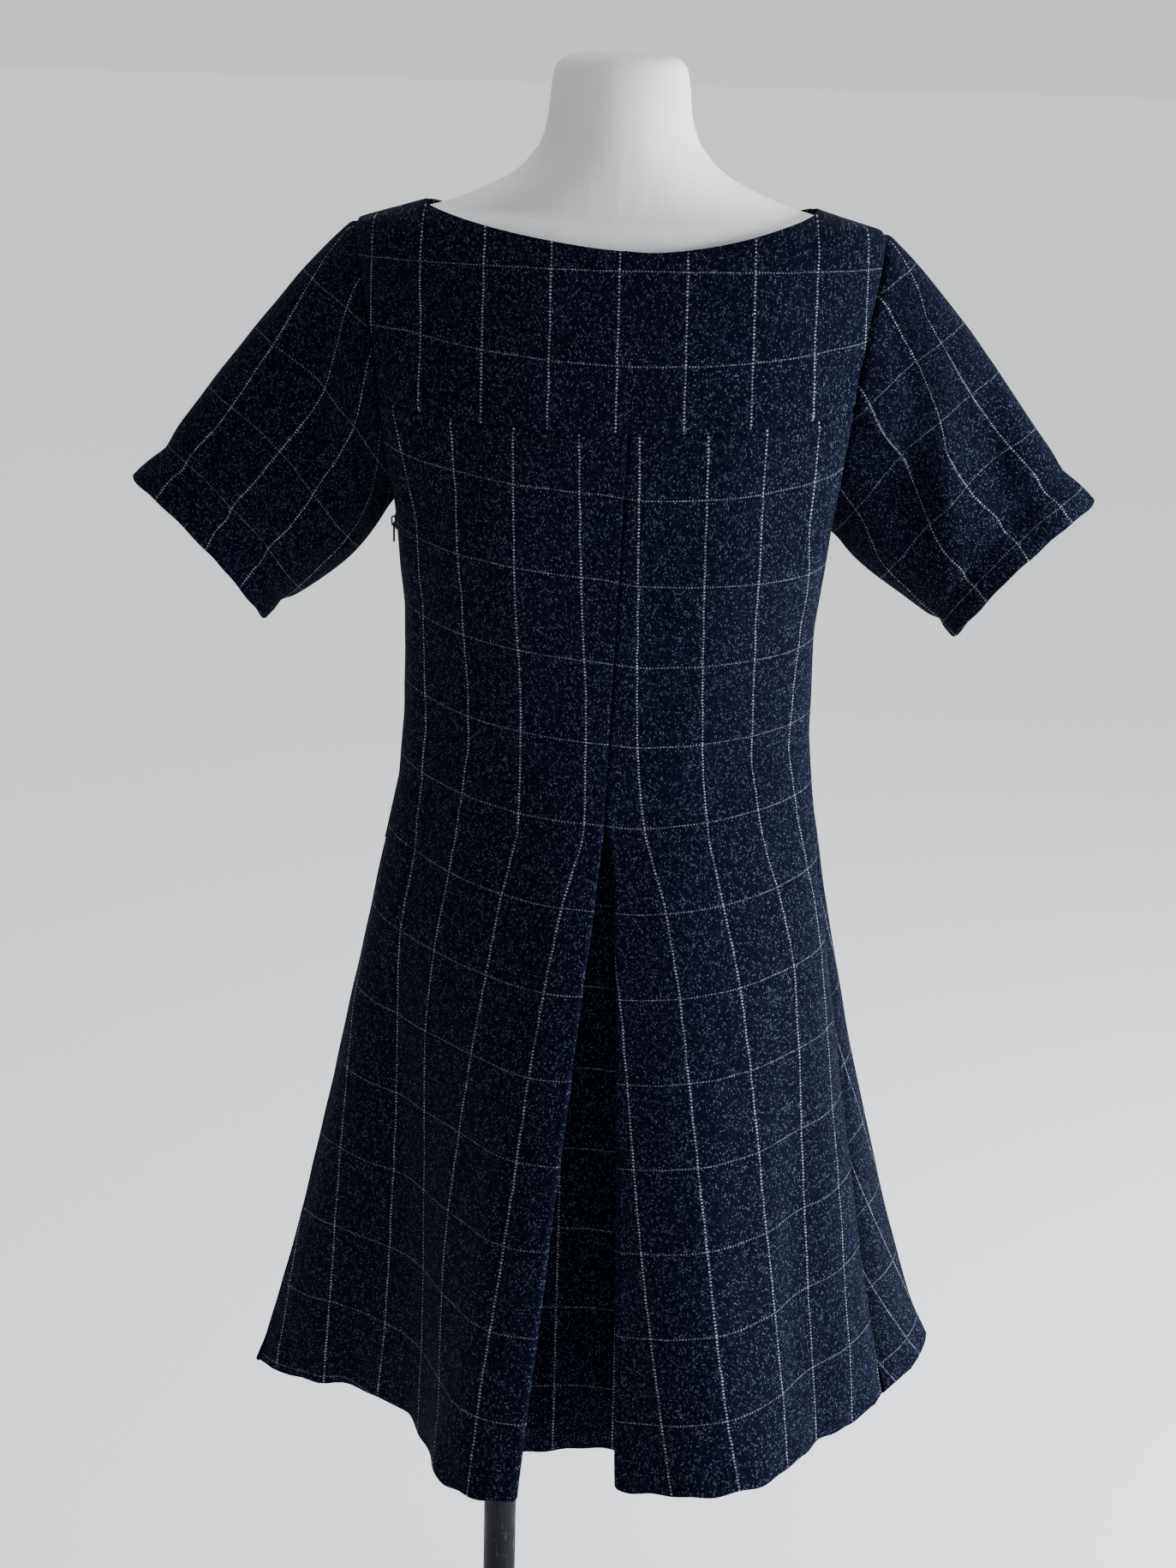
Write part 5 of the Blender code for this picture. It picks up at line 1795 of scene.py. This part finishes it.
@dataclass
class DressForm:
    """The limbless torso with its neck."""

    sides: int = 96
    neck_shift: float = 0.0025
    neck_starts: float = 1.365
    neck_height: float = 1.420
    rings_each: int = 3
    sections: Chart = Chart(
        ("height", "half_width", "back", "front", "power"),
        (
            (0.690, 0.1520, 0.0860, 0.0840, 2.2),
            (0.740, 0.1630, 0.0905, 0.0920, 2.2),
            (0.790, 0.1610, 0.0860, 0.0910, 2.2),
            (0.850, 0.1480, 0.0760, 0.0850, 2.2),
            (0.910, 0.1290, 0.0690, 0.0790, 2.2),
            (0.960, 0.1190, 0.0670, 0.0770, 2.2),
            (1.010, 0.1210, 0.0700, 0.0810, 2.2),
            (1.060, 0.1310, 0.0770, 0.0920, 2.2),
            (1.110, 0.1420, 0.0850, 0.1060, 2.2),
            (1.150, 0.1500, 0.0890, 0.1100, 2.2),
            (1.190, 0.1590, 0.0925, 0.1060, 2.2),
            (1.230, 0.1690, 0.0935, 0.0960, 2.2),
            (1.270, 0.1760, 0.0900, 0.0850, 2.2),
            (1.300, 0.1800, 0.0840, 0.0750, 2.2),
            (1.320, 0.1805, 0.0760, 0.0672, 2.2),
            (1.333, 0.1800, 0.0710, 0.0615, 2.2),
            (1.3395, 0.1780, 0.0680, 0.0585, 2.2),
            (1.3435, 0.1745, 0.0655, 0.0562, 2.2),
            (1.3477, 0.1655, 0.0620, 0.0530, 2.2),
            (1.3509, 0.1525, 0.0580, 0.0495, 2.2),
            (1.3538, 0.1380, 0.0542, 0.0465, 2.2),
            (1.3595, 0.1190, 0.0530, 0.0465, 2.2),
            (1.3680, 0.0980, 0.0530, 0.0480, 2.1),
            (1.3790, 0.0765, 0.0520, 0.0500, 2.1),
            (1.3910, 0.0635, 0.0500, 0.0510, 2.0),
            (1.4050, 0.0545, 0.0475, 0.0530, 2.0),
            (1.4210, 0.0505, 0.0440, 0.0560, 2.0),
            (1.4400, 0.0485, 0.0390, 0.0600, 2.0),
            (1.4510, 0.0465, 0.0345, 0.0605, 2.0),
            (1.4580, 0.0410, 0.0285, 0.0565, 2.0),
            (1.4610, 0.0310, 0.0190, 0.0470, 2.0),
        ),
    )

    def ring(self, height: float, angles: Array) -> Array:
        """The section's outline at a height.

        Args:
            height: Above the floor.
            angles: Directions of its points.

        Returns:
            Points.
        """
        width, back, front, power = (float(self.sections.at(height, name)) for name in self.sections.names[1:])
        rise = (height - self.neck_starts) / (self.neck_height - self.neck_starts)
        shift = self.neck_shift * min(1.0, max(0.0, rise))
        cosine, sine = np.cos(angles), np.sin(angles)
        depth = np.where(sine > 0, back, front)
        across = np.sign(cosine) * np.abs(cosine) ** (2 / power) * width
        behind = np.sign(sine) * np.abs(sine) ** (2 / power) * depth
        return np.column_stack([across + shift, behind, np.full(len(angles), height)])

    def build(self, material: bpy.types.Material) -> bpy.types.Object:
        """Grows the torso from a circle, ring by ring, and shapes each ring to its section.

        Args:
            material: Its finish.

        Returns:
            The piece.
        """
        heights = self.sections.column("height")
        parts = np.arange(self.rings_each) / self.rings_each
        rings = heights[:-1, None] + np.diff(heights)[:, None] * parts
        levels = np.concatenate([rings.ravel(), heights[-1:]])
        bpy.ops.object.select_all(action="DESELECT")
        place = (0, 0, float(levels[0]))
        bpy.ops.mesh.primitive_circle_add(vertices=self.sides, radius=0.15, fill_type="NGON", location=place)
        form = bpy.context.object
        form.name = "dress_form_cover"
        bpy.ops.object.mode_set(mode="EDIT")
        for low, high in zip(levels, levels[1:]):
            bpy.ops.mesh.extrude_region_move(TRANSFORM_OT_translate={"value": (0, 0, float(high - low))})
        bpy.ops.mesh.select_all(action="SELECT")
        bpy.ops.object.mode_set(mode="OBJECT")
        points = np.array([vertex.co for vertex in form.data.vertices])
        points[:, 2] += levels[0]
        form.location = (0, 0, 0)
        order = np.argmin(np.abs(points[:, 2:3] - levels[None, :]), axis=1)
        for k, level in enumerate(levels):
            chosen = order == k
            angles = np.arctan2(points[chosen, 1], points[chosen, 0])
            points[chosen] = self.ring(float(level), angles)
        form.data.vertices.foreach_set("co", points.reshape(-1))
        bpy.ops.object.mode_set(mode="EDIT")
        bpy.ops.mesh.select_all(action="SELECT")
        bpy.ops.mesh.normals_make_consistent(inside=False)
        bpy.ops.object.mode_set(mode="OBJECT")
        bpy.ops.object.shade_smooth_by_angle(angle=math.radians(50))
        return settled(form, material, "dress_form")


@dataclass
class PoleStand:
    """The pole with its flange, foot collar and round base."""

    pole_across: float = 0.0708
    pole_radius: float = 0.0133
    pole_high: float = 0.6867
    flange_radius: float = 0.038
    flange_thick: float = 0.006
    collar_radius: float = 0.0185
    bore: float = 0.0136
    foot_height: float = 0.045
    base_radius: float = 0.190
    base_thick: float = 0.012
    seat: float = 0.0123
    under_form: float = 0.6897
    collar_drop: float = 0.024
    bore_share: float = 0.96
    screw_radius: float = 0.0042
    screw_length: float = 0.0036
    screw_stands: float = 0.0010
    socket_rim: float = 0.0022
    socket_depth: float = 0.0016
    base_rim: float = 0.012
    base_step: tuple[float, float] = (0.0016, 0.0009)
    foot_screw: float = 0.040
    flange_screw_drop: float = 0.012

    def cylinder(
        self, name: str, radius: float, low: float, high: float, sides: int, across: float
    ) -> bpy.types.Object:
        """An upright cylinder.

        Args:
            name: The piece's name.
            radius: Its radius.
            low: Height of its foot.
            high: Height of its top.
            sides: Sides round it.
            across: The x of its axis.

        Returns:
            The piece.
        """
        centre = (across, 0, (low + high) / 2)
        bpy.ops.mesh.primitive_cylinder_add(vertices=sides, radius=radius, depth=high - low, location=centre)
        piece = bpy.context.object
        piece.name = name
        return piece

    def pick_end(self, piece: bpy.types.Object, way: tuple[float, float, float]) -> None:
        """Goes into edit mode and selects the flat face at one end.

        Args:
            piece: The active piece.
            way: The way that the face looks.
        """
        bpy.ops.object.mode_set(mode="EDIT")
        bpy.ops.mesh.select_mode(type="FACE")
        bpy.ops.mesh.select_all(action="DESELECT")
        shape = bmesh.from_edit_mesh(piece.data)
        flat = [face for face in shape.faces if face.normal.dot(Vector(way)) > 0.99]
        max(flat, key=lambda face: face.calc_center_median().dot(Vector(way))).select = True
        bmesh.update_edit_mesh(piece.data)

    def finished(
        self, piece: bpy.types.Object, bevel: float, material: bpy.types.Material, node: str = ""
    ) -> bpy.types.Object:
        """Rounds the edges, bakes the piece's place into its mesh and dresses it.

        Args:
            piece: The piece.
            bevel: Radius of its edges.
            material: Its finish.
            node: The solid that it stands in for, if any.

        Returns:
            The same piece.
        """
        bpy.ops.object.mode_set(mode="OBJECT")
        bpy.ops.object.transform_apply(location=True, rotation=True, scale=True)
        edges = piece.modifiers.new("edges", "BEVEL")
        edges.width = bevel
        edges.segments = 3
        edges.limit_method = "ANGLE"
        edges.angle_limit = math.radians(40)
        bpy.ops.object.modifier_apply(modifier="edges")
        bpy.ops.object.shade_smooth_by_angle(angle=math.radians(35))
        return settled(piece, material, node)

    def collar(self, name: str, top: bool, material: bpy.types.Material, node: str) -> bpy.types.Object:
        """A flange with a collar that holds the pole: the foot's stands up, the form's hangs down.

        Args:
            name: The piece's name.
            top: True for the foot on the base, False for the flange under the form.
            material: Its finish.
            node: The solid that it stands in for.

        Returns:
            The piece.
        """
        low, way = self.seat, self.foot_height - self.flange_thick
        if not top:
            low, way = self.under_form - self.flange_thick, -self.collar_drop
        piece = self.cylinder(name, self.flange_radius, low, low + self.flange_thick, 64, self.pole_across)
        self.pick_end(piece, (0, 0, math.copysign(1, way)))
        bpy.ops.mesh.inset(thickness=self.flange_radius - self.collar_radius)
        bpy.ops.mesh.extrude_region_move(TRANSFORM_OT_translate={"value": (0, 0, way)})
        bpy.ops.mesh.inset(thickness=self.collar_radius - self.bore)
        bpy.ops.mesh.extrude_region_move(TRANSFORM_OT_translate={"value": (0, 0, -way * self.bore_share)})
        return self.finished(piece, 0.0009, material, node)

    def screw(self, name: str, height: float, material: bpy.types.Material) -> bpy.types.Object:
        """A round-headed set screw in a collar, with its socket.

        Args:
            name: The piece's name.
            height: Above the floor.
            material: Its finish.

        Returns:
            The piece.
        """
        half = self.screw_length / 2
        piece = self.cylinder(name, self.screw_radius, -half, half, 24, 0)
        piece.location = (self.pole_across, self.collar_radius + self.screw_stands, height)
        piece.rotation_euler = (-math.pi / 2, 0, 0)
        bpy.ops.object.transform_apply(location=True, rotation=True, scale=True)
        self.pick_end(piece, (0, 1, 0))
        bpy.ops.mesh.inset(thickness=self.socket_rim)
        bpy.ops.mesh.extrude_region_move(TRANSFORM_OT_translate={"value": (0, -self.socket_depth, 0)})
        return self.finished(piece, 0.0004, material)

    def base(self, material: bpy.types.Material) -> bpy.types.Object:
        """The round base, with a fine step near its rim."""
        base = self.cylinder("base_plate", self.base_radius, 0.0, self.base_thick, 128, 0)
        self.pick_end(base, (0, 0, 1))
        step, drop = self.base_step
        bpy.ops.mesh.inset(thickness=self.base_rim)
        bpy.ops.mesh.inset(thickness=step)
        bpy.ops.transform.translate(value=(0, 0, -drop))
        return self.finished(base, 0.0032, material, "stand_base")

    def build(self, material: bpy.types.Material) -> list[bpy.types.Object]:
        """Makes every piece of the stand.

        Args:
            material: Their finish.

        Returns:
            The pieces.
        """
        pole = self.cylinder("pole_tube", self.pole_radius, self.seat, self.pole_high, 64, self.pole_across)
        under_flange = self.under_form - self.flange_thick - self.flange_screw_drop
        return [
            self.finished(pole, 0.0006, material, "stand_pole"),
            self.base(material),
            self.collar("foot_collar", True, material, "stand_foot"),
            self.collar("form_flange", False, material, "stand_flange"),
            self.screw("foot_screw", self.foot_screw, material),
            self.screw("flange_screw", under_flange, material),
        ]


@dataclass
class Studio:
    """Plain pale floor, soft light and the camera at the photograph's angle."""

    floor_size: float = 60.0
    focal: float = 59.0
    pitch: float = 18.0
    roll: float = 1.5
    eye: tuple[float, float, float] = (0.0129, 1.86, 1.53)
    backdrop: float = 0.90
    room: float = 0.03
    ceiling: float = 2.10
    backdrop_ends: tuple[float, float] = (-0.75, -0.15)
    ceiling_ends: tuple[float, float] = (0.55, 0.95)
    sky: tuple[float, float, float] = (0.96, 0.98, 1.0)
    floor_tone: float = 0.93
    window_place: tuple[float, float, float] = (-2.6, 0.5, 1.25)
    window_aim: tuple[float, float, float] = (0, 0, 0.95)
    window_size: float = 1.1
    window_power: float = 250
    window_colour: tuple[float, float, float] = (0.86, 0.93, 1.0)

    def camera(self) -> None:
        """Sets up the camera at the photograph's place and angle."""
        pitch, roll = math.radians(self.pitch), math.radians(self.roll)
        forward = Vector((0, -math.cos(pitch), -math.sin(pitch)))
        right = Vector((-1, 0, 0))
        up = right.cross(forward)
        lens = bpy.data.cameras.new("view")
        lens.lens = self.focal
        lens.sensor_width = 36
        lens.clip_start = 0.05
        lens.clip_end = 200
        camera = linked("view", lens)
        side = right * math.cos(roll) + up * math.sin(roll)
        top = -right * math.sin(roll) + up * math.cos(roll)
        turn = Matrix((side, top, -forward)).transposed().to_4x4()
        camera.matrix_world = Matrix.Translation(self.eye) @ turn
        bpy.context.scene.camera = camera

    def window(self) -> None:
        """Hangs the one soft square light, off to the side as a window is."""
        lamp = bpy.data.lights.new("window", "AREA")
        lamp.size = self.window_size
        lamp.energy = self.window_power
        lamp.color = self.window_colour
        holder = linked("window", lamp)
        way = Vector(self.window_aim) - Vector(self.window_place)
        holder.rotation_euler = way.to_track_quat("-Z", "Y").to_euler()
        holder.location = self.window_place

    def surroundings(self) -> None:
        """Sets the soft light all round: bright behind the dress and overhead, dark behind the camera."""
        world = bpy.data.worlds.new("studio")
        world.use_nodes = True
        tree = world.node_tree
        background = tree.nodes["Background"]
        background.inputs["Color"].default_value = (*self.sky, 1)
        _, y, z = add_node(tree, "TexCoord", "Generated", {}, {}).parts()
        low = self.backdrop + (self.room - self.backdrop) * y.between(*self.backdrop_ends)
        strength = low + (self.ceiling - low) * z.between(*self.ceiling_ends)
        tree.links.new(strength.socket, background.inputs["Strength"])
        bpy.context.scene.world = world

    def build(self) -> None:
        """Lays the floor and sets up the camera and the lights."""
        bpy.ops.mesh.primitive_plane_add(size=self.floor_size, location=(0, 0, 0))
        floor = bpy.context.object
        floor.name = "floor"
        finish = Finish("pale_floor", 0.9, 0.1)
        finish.shader.inputs["Base Color"].default_value = (*[self.floor_tone] * 3, 1)
        floor.data.materials.append(finish.material)
        self.camera()
        self.surroundings()
        self.window()


@dataclass
class DressedForm:
    """The whole object: cloth, zip, form and stand."""

    dress: Dress = field(default_factory=Dress)
    sleeve_columns: int = 132

    def cloth(self) -> list[bpy.types.Object]:
        """Builds the six cut pieces."""
        back, yoke = self.dress.back_panel(), self.dress.back_yoke()
        bodice, skirt = self.dress.front_bodice(), self.dress.front_skirt()
        armpit = int(np.argmin(np.abs(np.array(self.dress.back_heights()) - self.dress.shape.armpit)))
        under = int(np.argmin(np.abs(bodice.grid[:, 0, 2] - back.grid[armpit, -1, 2])))
        cuts = {"back_panel": back, "back_yoke": yoke, "front_bodice": bodice, "front_skirt": skirt}
        for node, sleeve, edge in (("left_sleeve", LEFT_SLEEVE, 0), ("right_sleeve", RIGHT_SLEEVE, -1)):
            rise = back.grid[armpit::-1, edge]
            over = yoke.grid[::-1, edge][1:]
            fall = bodice.grid[1:under, -1 - edge]
            ring = np.concatenate([rise, over, fall, rise[:1]])
            cuts[node] = Sleeve(sleeve, along(ring, np.linspace(0, 1, self.sleeve_columns + 1))[:-1]).piece()
        wool = Tweed().material()
        return [piece.build(wool, node) for node, piece in cuts.items()]

    def build(self) -> list[bpy.types.Object]:
        """Builds every piece in order.

        Returns:
            The pieces.
        """
        pieces = [DressForm().build(FormCover().material())]
        pieces += self.cloth()
        pieces += SideZip(self.dress.shape).build(Tape().material())
        pieces += PoleStand().build(Paint("scuffed_black_paint").material())
        enamel = Paint("black_enamel", roughness=0.3, scuffs=0.5, size=5.0).material()
        for name in ("zip_slider", "zip_pull_tab"):
            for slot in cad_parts[name].material_slots:
                slot.material = enamel
        return pieces


def report(pieces: list[bpy.types.Object]) -> None:
    """Logs the size of each piece.

    Args:
        pieces: The finished pieces.
    """
    for piece in pieces:
        mesh = piece.evaluated_get(bpy.context.evaluated_depsgraph_get()).to_mesh()
        triangles = sum(len(face.vertices) - 2 for face in mesh.polygons)
        log.info("%s: %d triangles, %s", piece.name, triangles, [round(side, 4) for side in piece.dimensions])


def main() -> None:
    """Builds the studio and the object."""
    logging.basicConfig(level=logging.INFO, format="%(name)s: %(message)s")
    Studio().build()
    report(DressedForm().build())
    bpy.context.view_layer.update()


if __name__ == "__main__":
    main()
